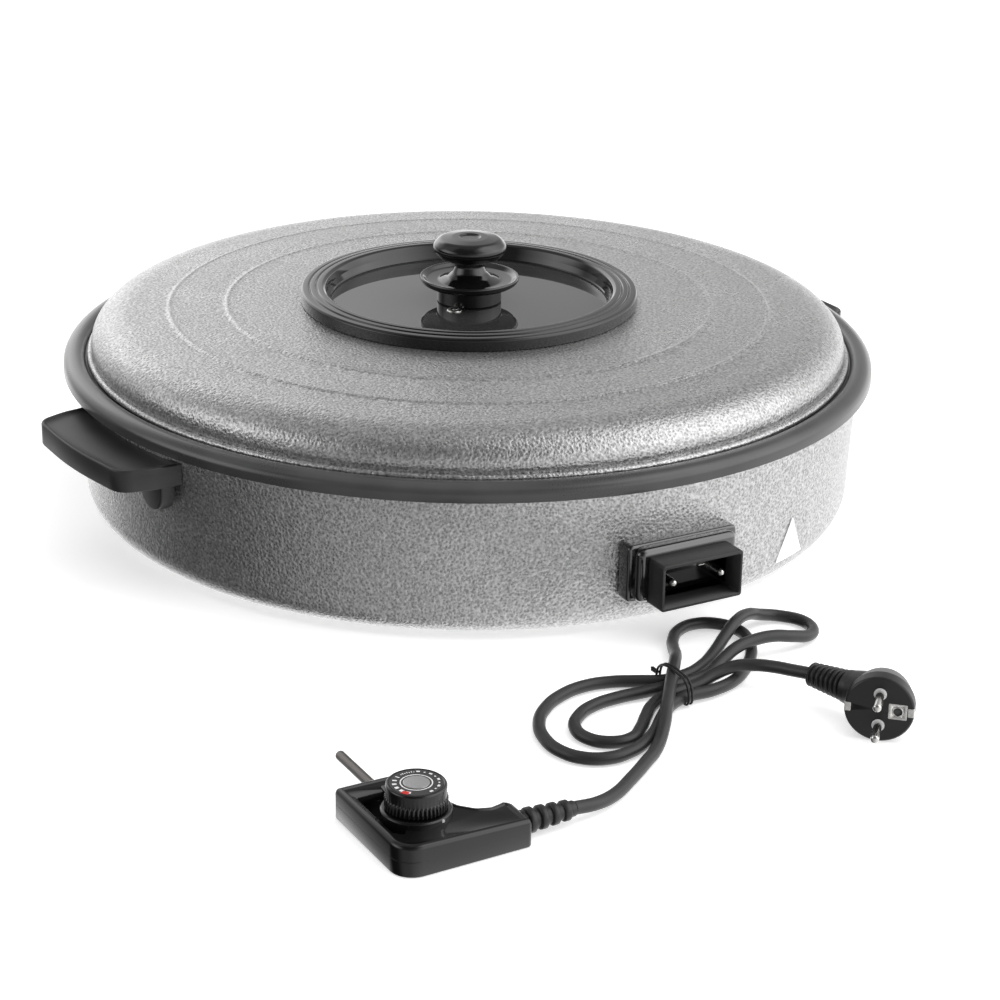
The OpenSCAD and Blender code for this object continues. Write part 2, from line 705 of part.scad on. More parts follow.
module strain_relief() {
  color([0.07, 0.07, 0.07]) at_control() translate([end_x - 3.4, relief_y, relief_z]) rotate([0, 90, 0]) {
    cylinder(r = 4.3, h = 4, $fn = 32);
    translate([0, 0, 3.4]) cylinder(r1 = 6, r2 = 4.4, h = relief_len, $fn = 48);
    for (i = [0:4]) translate([0, 0, 3.4 + 3 + 6 * i])
      cylinder(r1 = 7 - 0.3 * i, r2 = 6.7 - 0.3 * i, h = 3.2, $fn = 48);
  }
}

function unit3(v) = v / norm(v);
function along(p, i) = unit3(p[min(i + 1, len(p) - 1)] - p[max(i - 1, 0)]);
function level_side(t) = unit3(cross(t, [0, 0, 1]));
// Ring of points round the path at point i
function ring_at(p, i, r, sides) =
  let (t = along(p, i), s = level_side(t), u = cross(s, t))
  [for (k = [0:sides - 1]) p[i] + r * (cos(360 * k / sides) * s + sin(360 * k / sides) * u)];

module swept_tube(path, r, sides) {
  n = len(path);
  skin = [for (i = [0:n - 1]) each ring_at(path, i, r, sides)];
  polyhedron(
    points = concat(skin, [path[0], path[n - 1]]),
    faces = concat(
      [for (i = [0:n - 2], k = [0:sides - 1]) let (a = i * sides + k, b = i * sides + (k + 1) % sides)
        each [[a, b, b + sides], [a, b + sides, a + sides]]],
      [for (k = [0:sides - 1]) [n * sides, (k + 1) % sides, k]],
      [for (k = [0:sides - 1]) let (m = (n - 1) * sides) [n * sides + 1, m + k, m + (k + 1) % sides]]),
    convexity = 10);
}

module power_cord() {
  color([0.12, 0.12, 0.12]) swept_tube(CORD_ROUTE, on_table, 8);
}

// Flat wire round the bundle, with a small twisted end
module twist_tie() {
  color([0.05, 0.05, 0.05]) translate([-54, -344.2, 0]) {
    difference() {
      translate([-2, -18, 0.1]) cube([4, 36, 17.9]);
      translate([-3, -17, 1.1]) cube([6, 34, 15.9]);
    }
    translate([-1, 17.5, 7]) cube([2, 7, 2]);
  }
}

module at_plug() {
  translate(plug_at) rotate(plug_turn) children();
}

// The plug's ribbed sleeve, from its body out to the cord
module along_sleeve() {
  translate(sleeve_from) rotate(-90 - sleeve_back) rotate([0, 90 + atan2(plug_at[2] - 18, sleeve_len), 0])
    children();
}

module plug_body() {
  color([0.08, 0.08, 0.08]) at_plug() difference() {
    union() {
      rotate([0, -90, 0]) cylinder(r = plug_r, h = 9, $fn = 96);
      translate([-9, 0, 0]) rotate([0, -90, 0]) cylinder(r1 = plug_r - 0.6, r2 = 13.5, h = 19, $fn = 96);
      along_sleeve() {
        cylinder(r1 = 10.5, r2 = 5.6, h = sleeve_len, $fn = 48);
        for (i = [0:3]) translate([0, 0, sleeve_len - 24 + 6.2 * i])
          cylinder(r1 = 8.6 - 0.5 * i, r2 = 8.2 - 0.5 * i, h = 3.6, $fn = 48);
      }
    }
    for (z = [-1, 1]) translate([1, 0, z * plug_pin_gap / 2]) rotate([0, -90, 0])
      cylinder(r = tail_r, h = 13, $fn = 32);
    translate([1, 10.5, 0]) rotate([0, -90, 0]) cylinder(r = 3.4, h = 13, $fn = 32);
    for (y = [-1, 1]) translate([-7, y * plug_r - 1.5, -3]) cube([8, 3, 6]);
  }
}

module plug_pins() {
  color("gainsboro") at_plug() for (z = [-1, 1]) translate([0, 0, z * plug_pin_gap / 2]) rotate([0, 90, 0]) {
    translate([0, 0, -12]) cylinder(r = tail_r, h = 12, $fn = 32);
    cylinder(r = plug_pin_r, h = plug_pin_len, $fn = 32);
    translate([0, 0, plug_pin_len]) cylinder(r1 = plug_pin_r, r2 = 1.5, h = 1.5, $fn = 32);
  }
}

module plug_earth_contacts() {
  color("gainsboro") at_plug() {
    for (y = [-1, 1]) translate([-6.9, y * (plug_r - 0.75) - 0.7, -2.9]) cube([6.7, 1.4, 5.8]);
    translate([-0.2, 10.5, 0]) rotate([0, -90, 0]) difference() {
      cylinder(r = 3.3, h = 11.6, $fn = 32);
      translate([0, 0, -1]) cylinder(r = 2.5, h = 11, $fn = 32);
    }
  }
}

module dial() {
  color([0.06, 0.06, 0.06]) at_control() translate([0, 0, collar_top_z + 0.5]) difference() {
    union() {
      cylinder(r = dial_r, h = dial_h, $fn = 96);
      for (i = [0:35]) rotate(10 * i) translate([dial_r - 0.5, -0.5, 0.4]) cube([1.1, 1, 6]);
    }
    translate([0, 0, -1]) cylinder(r = 3, h = 7, $fn = 32);
    translate([0, 0, dial_h - 0.6]) cylinder(r = 13.6, h = 1, $fn = 64);
  }
}

module dial_plate() {
  color("silver") at_control() translate([0, 0, collar_top_z + dial_h - 0.1]) cylinder(r = 13.5, h = 0.5, $fn = 64);
}

module dial_spindle() {
  color("silver") at_control() {
    translate([0, 0, collar_top_z - 10]) cylinder(r = 3, h = 16.4, $fn = 32);
    translate([0, 0, collar_top_z - 10.8]) cylinder(r = 4.6, h = 0.8, $fn = 32);
  }
}

base_shell();
pan();
heating_element();
element_clamps();
probe_guide();
inlet_housing();
inlet_pins();
inlet_earth_clip();
inlet_clamp_plate();
inlet_screws();
supply_wires();
earth_wire();
standoffs();
bottom_cover();
cover_screws();
feet();
handle_left();
handle_right();
handle_washers();
handle_screws();
triangle_label();
lid_shell();
lid_glass();
window_ring();
window_clamp_ring();
window_gasket();
ring_screws();
vent_eyelet();
knob_base();
knob_cap();
knob_screw();
knob_washers();
control_lower();
control_upper();
control_screws();
probe();
contact_sockets();
thermostat_frame();
bimetal_blade();
switch_contacts();
lead_wires();
cord_clamp();
strain_relief();
power_cord();
twist_tie();
plug_body();
plug_pins();
plug_earth_contacts();
dial();
dial_plate();
dial_spindle();
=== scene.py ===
import math
import bpy
import bmesh
from mathutils import Matrix, Vector
from mathutils.geometry import tessellate_polygon


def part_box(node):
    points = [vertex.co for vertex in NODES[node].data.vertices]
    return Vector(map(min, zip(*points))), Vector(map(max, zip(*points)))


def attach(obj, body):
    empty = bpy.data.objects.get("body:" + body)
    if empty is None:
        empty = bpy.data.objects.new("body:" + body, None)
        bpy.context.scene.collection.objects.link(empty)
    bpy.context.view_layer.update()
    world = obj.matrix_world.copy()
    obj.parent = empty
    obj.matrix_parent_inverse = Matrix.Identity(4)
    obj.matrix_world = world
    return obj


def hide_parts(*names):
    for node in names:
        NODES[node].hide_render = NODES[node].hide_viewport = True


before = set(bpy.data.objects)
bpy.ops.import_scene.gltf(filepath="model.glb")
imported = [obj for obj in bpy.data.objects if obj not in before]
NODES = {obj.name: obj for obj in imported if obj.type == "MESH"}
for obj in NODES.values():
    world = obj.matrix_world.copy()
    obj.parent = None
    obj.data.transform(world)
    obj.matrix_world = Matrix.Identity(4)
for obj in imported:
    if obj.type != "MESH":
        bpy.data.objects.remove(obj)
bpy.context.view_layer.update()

MM = 0.001                                # lengths below are in millimetres unless a comment says otherwise
VIEW_AZIMUTH = math.radians(29)           # how far round the camera stands from straight in front of the inlet
scene = bpy.context.scene
scene.view_settings.view_transform = "Standard"
scene.view_settings.look = "None"


# ---------------------------------------------------------------- camera
def camera_turn(v):
    """A direction seen from the camera's side of the object, turned into the row frame."""
    c, s = math.cos(VIEW_AZIMUTH), math.sin(VIEW_AZIMUTH)
    return Vector((v[0] * c + v[1] * s, -v[0] * s + v[1] * c, v[2]))


CAMERA_AIM = (0.79, 22.07, 0.98)          # yaw, pitch down and roll, in degrees
CAMERA_AT = (0, -1.6645, 0.6625)          # metres, seen from the camera's side
FOCAL_LENGTH = 93.6


def add_camera():
    yaw, pitch, roll = [math.radians(a) for a in CAMERA_AIM]
    forward = Vector((math.sin(yaw) * math.cos(pitch), math.cos(yaw) * math.cos(pitch), -math.sin(pitch)))
    right = Vector((math.cos(yaw), -math.sin(yaw), 0))
    up = right.cross(forward)
    side = right * math.cos(roll) + up * math.sin(roll)
    top = up * math.cos(roll) - right * math.sin(roll)
    axes = [camera_turn(side), camera_turn(top), camera_turn(-forward)]
    data = bpy.data.cameras.new("camera")
    data.lens = FOCAL_LENGTH
    data.sensor_width = 36
    data.clip_end = 100
    cam = bpy.data.objects.new("camera", data)
    scene.collection.objects.link(cam)
    m = Matrix((axes[0], axes[1], axes[2])).transposed().to_4x4()
    m.translation = camera_turn(CAMERA_AT)
    cam.matrix_world = m
    scene.camera = cam


add_camera()


# ---------------------------------------------------------------- materials
class Paint:
    """A small helper round one material's node tree."""

    def __init__(self, name):
        self.mat = bpy.data.materials.new(name)
        self.mat.use_nodes = True
        self.tree = self.mat.node_tree
        self.nodes = self.tree.nodes
        self.bsdf = next(n for n in self.nodes if n.type == "BSDF_PRINCIPLED")
        self.coord = self.nodes.new("ShaderNodeTexCoord")

    def set(self, **values):
        for key, value in values.items():
            self.bsdf.inputs[key.replace("_", " ").title().replace("Ior", "IOR")].default_value = value
        return self

    def link(self, a, b):
        self.tree.links.new(a, b)

    def noise(self, scale, detail=3.0, rough=0.5, stretch=None):
        n = self.nodes.new("ShaderNodeTexNoise")
        n.inputs["Scale"].default_value = scale
        n.inputs["Detail"].default_value = detail
        n.inputs["Roughness"].default_value = rough
        self.place(n, stretch)
        return n.outputs["Fac"]

    def cells(self, scale, smooth=0.6):
        n = self.nodes.new("ShaderNodeTexVoronoi")
        n.feature = "SMOOTH_F1"
        n.inputs["Scale"].default_value = scale
        n.inputs["Smoothness"].default_value = smooth
        self.place(n, None)
        return n.outputs["Distance"]

    def place(self, n, stretch):
        if stretch is None:
            self.link(self.coord.outputs["Object"], n.inputs["Vector"])
            return
        m = self.nodes.new("ShaderNodeMapping")
        m.inputs["Scale"].default_value = stretch
        self.link(self.coord.outputs["Object"], m.inputs["Vector"])
        self.link(m.outputs["Vector"], n.inputs["Vector"])

    def ramp(self, fac, stops):
        r = self.nodes.new("ShaderNodeValToRGB")
        r.color_ramp.elements[0].position = stops[0][0]
        r.color_ramp.elements[0].color = grey(stops[0][1])
        r.color_ramp.elements[1].position = stops[-1][0]
        r.color_ramp.elements[1].color = grey(stops[-1][1])
        for pos, value in stops[1:-1]:
            e = r.color_ramp.elements.new(pos)
            e.color = grey(value)
        self.link(fac, r.inputs["Fac"])
        return r.outputs["Color"]

    def math(self, kind, a, b):
        n = self.nodes.new("ShaderNodeMath")
        n.operation = kind
        for i, v in enumerate((a, b)):
            if isinstance(v, (int, float)):
                n.inputs[i].default_value = v
            else:
                self.link(v, n.inputs[i])
        return n.outputs["Value"]

    def bump(self, height, distance, strength=1.0):
        b = self.nodes.new("ShaderNodeBump")
        b.inputs["Distance"].default_value = distance
        b.inputs["Strength"].default_value = strength
        self.link(height, b.inputs["Height"])
        self.link(b.outputs["Normal"], self.bsdf.inputs["Normal"])
        return self

    def into(self, output, socket):
        self.link(output, self.bsdf.inputs[socket])
        return self


def grey(v):
    return (v[0], v[1], v[2], 1) if isinstance(v, (tuple, list)) else (v, v, v, 1)


def mottled(name, dark, light, rough, metal, cell=420):
    """Hammer-finish enamel: small shallow dimples with bright flecks between them."""
    p = Paint(name).set(metallic=metal, specular_ior_level=0.5)
    dimples = p.cells(cell)
    grain = p.noise(cell * 1.1, 3.0, 0.65)
    patches = p.noise(26, 3.0, 0.55)
    mix = p.math("ADD", p.math("MULTIPLY", dimples, 0.35), p.math("MULTIPLY", grain, 0.8))
    p.into(p.ramp(mix, [(0.38, dark), (0.55, (dark + light) / 2), (0.72, light)]), "Base Color")
    p.into(p.ramp(p.math("ADD", p.math("MULTIPLY", grain, 0.5), p.math("MULTIPLY", patches, 0.5)),
                  [(0.3, rough - 0.07), (0.7, rough + 0.08)]), "Roughness")
    p.bump(p.math("ADD", dimples, grain), 0.0004, 0.75)
    return p.mat


def moulded(name, base, rough, spread=0.05, texture=900, depth=0.00004, coat=0.0, metal=0.0):
    """Moulded plastic or enamel: near flat, with a faint skin and a slight change of gloss."""
    p = Paint(name).set(metallic=metal, coat_weight=coat, coat_roughness=0.06)
    skin = p.noise(texture, 4.0, 0.6)
    wide = p.noise(22, 3.0, 0.55)
    p.into(p.ramp(wide, [(0.3, base * 0.8), (0.7, base * 1.25)]), "Base Color")
    p.into(p.ramp(p.math("ADD", p.math("MULTIPLY", skin, 0.35), p.math("MULTIPLY", wide, 0.65)),
                  [(0.3, rough - spread), (0.7, rough + spread)]), "Roughness")
    p.bump(skin, depth, 0.5)
    return p.mat


def metal(name, color, rough, stretch=(1, 1, 1), scale=600):
    p = Paint(name).set(metallic=1.0)
    lines = p.noise(scale, 3.0, 0.6, stretch)
    stops = [(0.3, [c * 0.82 for c in color]), (0.7, [min(1, c * 1.08) for c in color])]
    p.into(p.ramp(lines, stops), "Base Color")
    p.into(p.ramp(lines, [(0.3, rough - 0.05), (0.7, rough + 0.08)]), "Roughness")
    p.bump(lines, 0.00003, 0.4)
    return p.mat


def tinted(name, color, rough, texture=700):
    """A coloured plastic or sleeve."""
    p = Paint(name)
    grain = p.noise(texture, 3.0, 0.55)
    stops = [(0.3, [c * 0.85 for c in color]), (0.7, [min(1, c * 1.1) for c in color])]
    p.into(p.ramp(grain, stops), "Base Color")
    p.into(p.ramp(grain, [(0.3, rough - 0.05), (0.7, rough + 0.05)]), "Roughness")
    p.bump(grain, 0.00004, 0.4)
    return p.mat


HAMMER = mottled("hammertone_enamel", 0.27, 0.68, 0.29, 0.85, 560)
HAMMER_FLAT = mottled("hammertone_cover", 0.16, 0.42, 0.42, 0.7, 300)
RIM = moulded("pan_coating", 0.05, 0.30, 0.04, 700, 0.00003, coat=0.35)
GLOSS = moulded("bakelite_gloss", 0.006, 0.10, 0.03, 500, 0.00001, coat=0.4)
POLISHED = moulded("inlet_gloss", 0.006, 0.09, 0.03, 500, 0.00001, coat=1.0)
POLISHED.node_tree.nodes["Principled BSDF"].inputs["Specular IOR Level"].default_value = 1.0
SATIN = moulded("bakelite_satin", 0.022, 0.40, 0.05, 1500, 0.00003)
HOUSING = moulded("control_plastic", 0.006, 0.17, 0.04, 1400, 0.00001, coat=0.2)
RUBBER = moulded("cord_rubber", 0.028, 0.42, 0.07, 1300, 0.00004)
PLUG = moulded("plug_rubber", 0.016, 0.38, 0.06, 1500, 0.00004)
FOOT = moulded("foot_rubber", 0.02, 0.6, 0.06, 900, 0.00006)
SEAL = moulded("seal_silicone", 0.03, 0.5, 0.05, 900, 0.00004)
NICKEL = metal("nickel_plate", (0.78, 0.77, 0.75), 0.2)
ZINC = metal("zinc_plate", (0.62, 0.62, 0.63), 0.34)
STEEL = metal("probe_sheath", (0.27, 0.255, 0.245), 0.42, (1, 0.08, 1), 900)
BRASS = metal("contact_brass", (0.72, 0.52, 0.25), 0.3)
SHEATH = metal("heater_sheath", (0.20, 0.16, 0.14), 0.5)
CAST = metal("cast_guide", (0.55, 0.55, 0.55), 0.5)
PRINT_WHITE = tinted("print_white", (0.8, 0.8, 0.8), 0.45)
PRINT_GREY = metal("dial_centre", (0.62, 0.62, 0.62), 0.38, (1, 1, 1), 1400)
PRINT_RED = tinted("print_red", (0.55, 0.02, 0.015), 0.4)
LABEL = tinted("label_white", (0.92, 0.92, 0.92), 0.3)
LABEL_SHADER = LABEL.node_tree.nodes["Principled BSDF"]
# Painted light: the label glows faintly of its own, so it reads whiter than the lit housing beside it
LABEL_SHADER.inputs["Emission Color"].default_value = (1, 1, 1, 1)
LABEL_SHADER.inputs["Emission Strength"].default_value = 0.3
WHITE_SLEEVE = tinted("glass_sleeving", (0.62, 0.6, 0.52), 0.7)
EARTH = tinted("earth_insulation", (0.18, 0.42, 0.06), 0.5)
TIE = moulded("tie_plastic", 0.01, 0.35)


def glass_material():
    p = Paint("smoked_glass").set(ior=1.55, transmission_weight=0.35, coat_weight=0.4, coat_roughness=0.01)
    haze = p.noise(9, 2.0, 0.5)
    p.into(p.ramp(haze, [(0.3, 0.05), (0.7, 0.075)]), "Base Color")
    p.into(p.ramp(haze, [(0.3, 0.01), (0.7, 0.03)]), "Roughness")
    return p.mat


GLASS = glass_material()


# ---------------------------------------------------------------- mesh helpers
def add_object(name, verts, faces, mat, body, sharp=32, unit=MM, place=None):
    mesh = bpy.data.meshes.new(name)
    pts = [Vector(v) for v in verts]
    if place is not None:
        pts = [place @ p for p in pts]
    mesh.from_pydata([p * unit for p in pts], [], faces)
    bm = bmesh.new()
    bm.from_mesh(mesh)
    bmesh.ops.remove_doubles(bm, verts=bm.verts, dist=1e-6)
    bmesh.ops.recalc_face_normals(bm, faces=bm.faces)
    bm.to_mesh(mesh)
    bm.free()
    for poly in mesh.polygons:
        poly.use_smooth = True
    mesh.set_sharp_from_angle(angle=math.radians(sharp))
    mesh.materials.append(mat)
    ob = bpy.data.objects.new(name, mesh)
    scene.collection.objects.link(ob)
    if body:
        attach(ob, body)
    return ob


def fillet(points, radius, steps=4, closed=True):
    """The outline with its corners rounded. radius is one number, or one for each corner."""
    n = len(points)
    out = []
    for i, p in enumerate(points):
        r = radius[i] if isinstance(radius, (list, tuple)) else radius
        if (not closed and i in (0, n - 1)) or r <= 0:
            out.append(tuple(p))
            continue
        a, b, c = Vector(points[i - 1]), Vector(p), Vector(points[(i + 1) % n])
        u, v = (a - b), (c - b)
        lu, lv = u.length, v.length
        if lu < 1e-6 or lv < 1e-6:
            out.append(tuple(p))
            continue
        u.normalize()
        v.normalize()
        turn = math.pi - math.acos(max(-1, min(1, u.dot(v))))
        t = min(r * math.tan(turn / 2), 0.48 * lu, 0.48 * lv)
        if turn < 0.02:
            out.append(tuple(p))
            continue
        for k in range(steps + 1):
            s = k / steps
            q = (b + u * t) * (1 - s) ** 2 + b * 2 * s * (1 - s) + (b + v * t) * s * s
            out.append(tuple(q))
    return out


def arc(cx, cy, rx, ry, start, end, n):
    return [(cx + rx * math.cos(math.radians(start + (end - start) * i / n)),
             cy + ry * math.sin(math.radians(start + (end - start) * i / n))) for i in range(n + 1)]


def lathe(name, profile, mat, body, n=288, place=None, sharp=32):
    """Turns a closed (radius, height) outline about the z axis."""
    verts, rings = [], []
    for r, z in profile:
        if r < 1e-6:
            rings.append([len(verts)])
            verts.append((0, 0, z))
        else:
            rings.append(list(range(len(verts), len(verts) + n)))
            turns = [2 * math.pi * k / n for k in range(n)]
            verts += [(r * math.cos(a), r * math.sin(a), z) for a in turns]
    faces = []
    m = len(profile)
    for i in range(m):
        a, b = rings[i], rings[(i + 1) % m]
        if len(a) == 1 and len(b) == 1:
            continue
        for k in range(n):
            j = (k + 1) % n
            if len(a) == 1:
                faces.append((a[0], b[j], b[k]))
            elif len(b) == 1:
                faces.append((a[k], a[j], b[0]))
            else:
                faces.append((a[k], a[j], b[j], b[k]))
    return add_object(name, verts, faces, mat, body, sharp, place=place)


def grown(outline, d):
    """The outline moved outwards by d, along each point's own normal."""
    n = len(outline)
    nexts = list(outline[1:]) + [outline[0]]
    area = sum(p[0] * q[1] - q[0] * p[1] for p, q in zip(outline, nexts))
    sign = 1 if area > 0 else -1
    out = []
    for i in range(n):
        a, b, c = Vector(outline[i - 1]), Vector(outline[i]), Vector(outline[(i + 1) % n])
        u, v = (b - a).normalized(), (c - b).normalized()
        nu, nv = Vector((u[1], -u[0])), Vector((v[1], -v[0]))
        m = nu + nv
        if m.length < 1e-6:
            m = nu
        m.normalize()
        k = max(0.5, m.dot(nu))
        out.append(tuple(b + m * (sign * d / k)))
    return out


def stack(name, levels, mat, body, place=None, sharp=32, cap=True):
    """A solid through outlines of equal length, each with its height: [(outline, z), ...]. z may be a list."""
    n = len(levels[0][0])
    verts = []
    for outline, z in levels:
        zs = z if isinstance(z, (list, tuple)) else [z] * n
        verts += [(p[0], p[1], zs[i]) for i, p in enumerate(outline)]
    faces = []
    for i in range(len(levels) - 1):
        for k in range(n):
            j = (k + 1) % n
            faces.append((i * n + k, i * n + j, (i + 1) * n + j, (i + 1) * n + k))
    if cap:
        for level in (0, len(levels) - 1):
            flat = [Vector((p[0], p[1], 0)) for p in levels[level][0]]
            faces += [tuple(level * n + k for k in tri) for tri in tessellate_polygon([flat])]
    return add_object(name, verts, faces, mat, body, sharp, place=place)


def slab(name, outline, z0, z1, edge, mat, body, place=None, steps=3, sharp=40):
    """A plate with rounded upper and lower edges."""
    low, high = [], []
    for i in range(steps + 1):
        a = math.pi / 2 * i / steps
        low.append((grown(outline, -edge * (1 - math.sin(a))), z0 + edge * (1 - math.cos(a))))
        high.append((grown(outline, -edge * (1 - math.cos(a))), z1 - edge * (1 - math.sin(a))))
    return stack(name, low + high, mat, body, place, sharp)


def rect(w, h, r, steps=5):
    return fillet([(-w / 2, -h / 2), (w / 2, -h / 2), (w / 2, h / 2), (-w / 2, h / 2)], r * 1.3, steps)


def circle(r, n=48, cx=0, cy=0):
    return [(cx + r * math.cos(2 * math.pi * k / n), cy + r * math.sin(2 * math.pi * k / n)) for k in range(n)]


def cut(target, cutter):
    """Takes cutter's shape out of target, once and for all."""
    mod = target.modifiers.new("cut", "BOOLEAN")
    mod.object = cutter
    mod.operation = "DIFFERENCE"
    mod.solver = "EXACT"
    graph = bpy.context.evaluated_depsgraph_get()
    mesh = bpy.data.meshes.new_from_object(target.evaluated_get(graph))
    target.modifiers.remove(mod)
    target.data = mesh
    bpy.data.objects.remove(cutter)


def join(name, obs, body):
    """One mesh from several, so that a moulding is one piece."""
    bm = bmesh.new()
    mats = []
    for ob in obs:
        graph = bpy.context.evaluated_depsgraph_get()
        ev = ob.evaluated_get(graph)
        me = bpy.data.meshes.new_from_object(ev)
        offset = len(bm.faces)
        bm.from_mesh(me)
        bm.faces.ensure_lookup_table()
        slot = []
        for m in me.materials:
            if m not in mats:
                mats.append(m)
            slot.append(mats.index(m))
        for f in bm.faces[offset:]:
            f.material_index = slot[f.material_index] if slot else 0
        bpy.data.objects.remove(ob)
    mesh = bpy.data.meshes.new(name)
    bm.to_mesh(mesh)
    bm.free()
    for m in mats:
        mesh.materials.append(m)
    out = bpy.data.objects.new(name, mesh)
    scene.collection.objects.link(out)
    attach(out, body)
    return out


# ---------------------------------------------------------------- power cord
CORD_D = 0.0074                           # metres
CORD_LOWEST = 3.84                        # the cord's middle where it lies on the table
CORD_ROUTE = [                            # the route's points, as in the CAD model
    (-180, -443, 8), (-165, -441, 6), (-149, -434, 4), (-132, -423, 3.7), (-116, -411.5, 3.7),
    (-101, -400, 4.4), (-89, -388, 9), (-79, -375, 12.4), (-66, -358, 13), (-53.5, -341.5, 13),
    (-42, -326.5, 12.4), (-32, -312, 8.4), (-24.5, -298.5, 4.8), (-17.5, -287, 3.7), (-7, -277, 3.7),
    (7, -273.5, 3.7), (19, -279.5, 3.7), (25, -291.5, 3.7), (24, -305, 3.7), (18, -317.5, 3.7),
    (9, -329.5, 3.7), (-2, -340, 3.7), (-16, -349.5, 3.7), (-34, -355, 4.4), (-54, -356, 5),
    (-67, -360.5, 4.4), (-79, -370.5, 3.8), (-90, -381.5, 3.7), (-102, -390.5, 3.7), (-116, -396.5, 3.7),
    (-130, -397.5, 3.7), (-142.5, -391, 3.7), (-149.5, -378, 3.7), (-149.5, -361, 3.7),
    (-143, -344, 3.7), (-131, -330, 3.7), (-115, -320, 3.7), (-97, -315.5, 3.7), (-80, -318, 3.7),
    (-66, -325.5, 4.4), (-54, -332.3, 5), (-38, -331.5, 4.6), (-22, -324.5, 3.7), (-6, -314, 4.8),
    (8, -304.5, 8.6), (21, -296.5, 12), (34, -289.5, 11), (47, -285.2, 6.4), (60, -288.6, 4),
    (67.6, -300, 3.7), (66.4, -312.5, 3.8), (57, -321, 5), (44, -323.5, 8.4), (30, -323, 11.4),
    (16, -323, 11.8), (2, -325.5, 11), (-12, -330.5, 7.4), (-26, -337, 4.8), (-40, -339.8, 4.8),
    (-54, -340.2, 5), (-70, -338.5, 4.2), (-87, -337, 3.7), (-104, -339, 3.7), (-118, -346, 3.7),
    (-128, -358, 3.7), (-128.5, -372, 3.7), (-120, -382, 3.7), (-107, -383.5, 3.7), (-96, -375.5, 3.7),
    (-86, -365, 3.7), (-76, -355.5, 4), (-65, -350, 4.6), (-54, -348.1, 5), (-40, -347.5, 5.6),
    (-27, -346, 9), (-15, -347.8, 12), (-5, -354.3, 13.4), (1.5, -363.5, 14.8), (6, -374.5, 16.4),
    (11, -386, 18)]


def add_cord():
    data = bpy.data.curves.new("cord", "CURVE")
    data.dimensions = "3D"
    data.resolution_u = 8
    data.bevel_depth = CORD_D / 2
    data.bevel_resolution = 6
    data.use_fill_caps = True
    spline = data.splines.new("BEZIER")
    spline.bezier_points.add(len(CORD_ROUTE) - 1)
    for point, at in zip(spline.bezier_points, CORD_ROUTE):
        point.co = Vector((at[0], at[1], max(at[2], CORD_LOWEST))) * MM
        point.handle_left_type = point.handle_right_type = "AUTO"
    data.materials.append(RUBBER)
    ob = bpy.data.objects.new("cord", data)
    scene.collection.objects.link(ob)
    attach(ob, "control_lead")
    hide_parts("power_cord")
    return ob


cord = add_cord()

# ---------------------------------------------------------------- the control and plug places
DIAL_LOW, DIAL_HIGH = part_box("dial_plate")
CTRL = Vector(((DIAL_LOW[0] + DIAL_HIGH[0]) / 2 / MM, (DIAL_LOW[1] + DIAL_HIGH[1]) / 2 / MM, 0))
AT_CTRL = Matrix.Translation(CTRL)
PLUG_P = Vector((15.8, -443.6, 19.6))
AT_PLUG = Matrix.Translation(PLUG_P) @ Matrix.Rotation(math.radians(227), 4, "Z")
ON_SIDE = Matrix.Rotation(math.radians(90), 4, "Y")      # a lathe's z axis laid along +x


def strain_relief():
    place = AT_CTRL @ Matrix.Translation((46.6, -19.5, 8)) @ ON_SIDE
    n = 4
    prof = [(0, 0), (4.3, 0), (4.3, 3.4), (6.2, 3.4), (6.4, 3.9), (6.4, 4.6), (5.2, 5.0)]
    x = 6.4
    for i in range(n):
        r = 7.0 - 0.45 * i
        core = 5.2 - 0.25 * i
        prof += [(core, x), (r - 0.4, x + 0.3), (r, x + 0.8), (r, x + 3.6), (r - 0.4, x + 4.1), (core, x + 4.4)]
        x += 7.1
    prof += [(4.3, 35.0), (4.1, 35.4), (0, 35.4)]
    ob = lathe("strain_relief_ribs", prof, PLUG, "control_lead", 48, place, 50)
    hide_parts("strain_relief")
    return ob


# ---------------------------------------------------------------- housing and pan
def sheet_profile(path, t):
    """A closed outline t thick on the left of the path."""
    out = []
    n = len(path)
    for i in range(n):
        a, b = Vector(path[max(0, i - 1)]), Vector(path[min(n - 1, i + 1)])
        d = (b - a).normalized()
        out.append((path[i][0] - d[1] * t, path[i][1] + d[0] * t))
    return list(path) + out[::-1]


def add_shell():
    top, seat = 261.5, 97.5
    path = [(226, 1.5)] + arc(240, 19.5, 18, 18, -90, 0, 16) + [(258.6, 40), (260.1, 70)]
    path += [(top, seat - 3)] + arc(top - 3, seat - 3, 3, 3, 20, 90, 4) + [(253.2, seat)]
    ob = lathe("body_shell", sheet_profile(path, 1.5), HAMMER, "griddle", 360)
    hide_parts("base_shell")


def add_pan():
    path = [(270, 94.5), (270, 95.6)] + arc(261.5, 98.2, 8.4, 6.6, 5, 90, 12)
    path += [(258.4, 104.4), (256.9, 103.4), (255.4, 101.4), (253.5, 101), (251, 100.5), (247.5, 97)]
    path += arc(231, 69, 15, 15, 0, -90, 8) + [(0.0001, 54)]
    outer = [(267.8, 94.4), (267.4, 95.2)] + arc(260, 97, 7, 4.6, 5, 80, 6)
    outer += [(257.8, 99.3), (254.6, 97.7), (252.9, 97.6), (249.5, 97.0), (249.4, 69)]
    outer += arc(231, 69, 18.5, 18.5, 0, -90, 8)[1:] + [(0.0001, 50.5)]
    ob = lathe("pan_body", path + outer[::-1], RIM, "griddle", 360)
    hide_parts("pan")


# ---------------------------------------------------------------- lid
def crown(r):
    """Height of the lid's top at a radius, with its two pressed circles."""
    z = 133.2 - (r - 114) * 0.0135 - max(0, r - 175) ** 2 * 0.00065
    for step in (163, 201):
        z -= 0.55 / (1 + math.exp(-(r - step) * 2.2))
        z += 0.35 * math.exp(-((r - step + 1.6) / 1.3) ** 2)
    return z


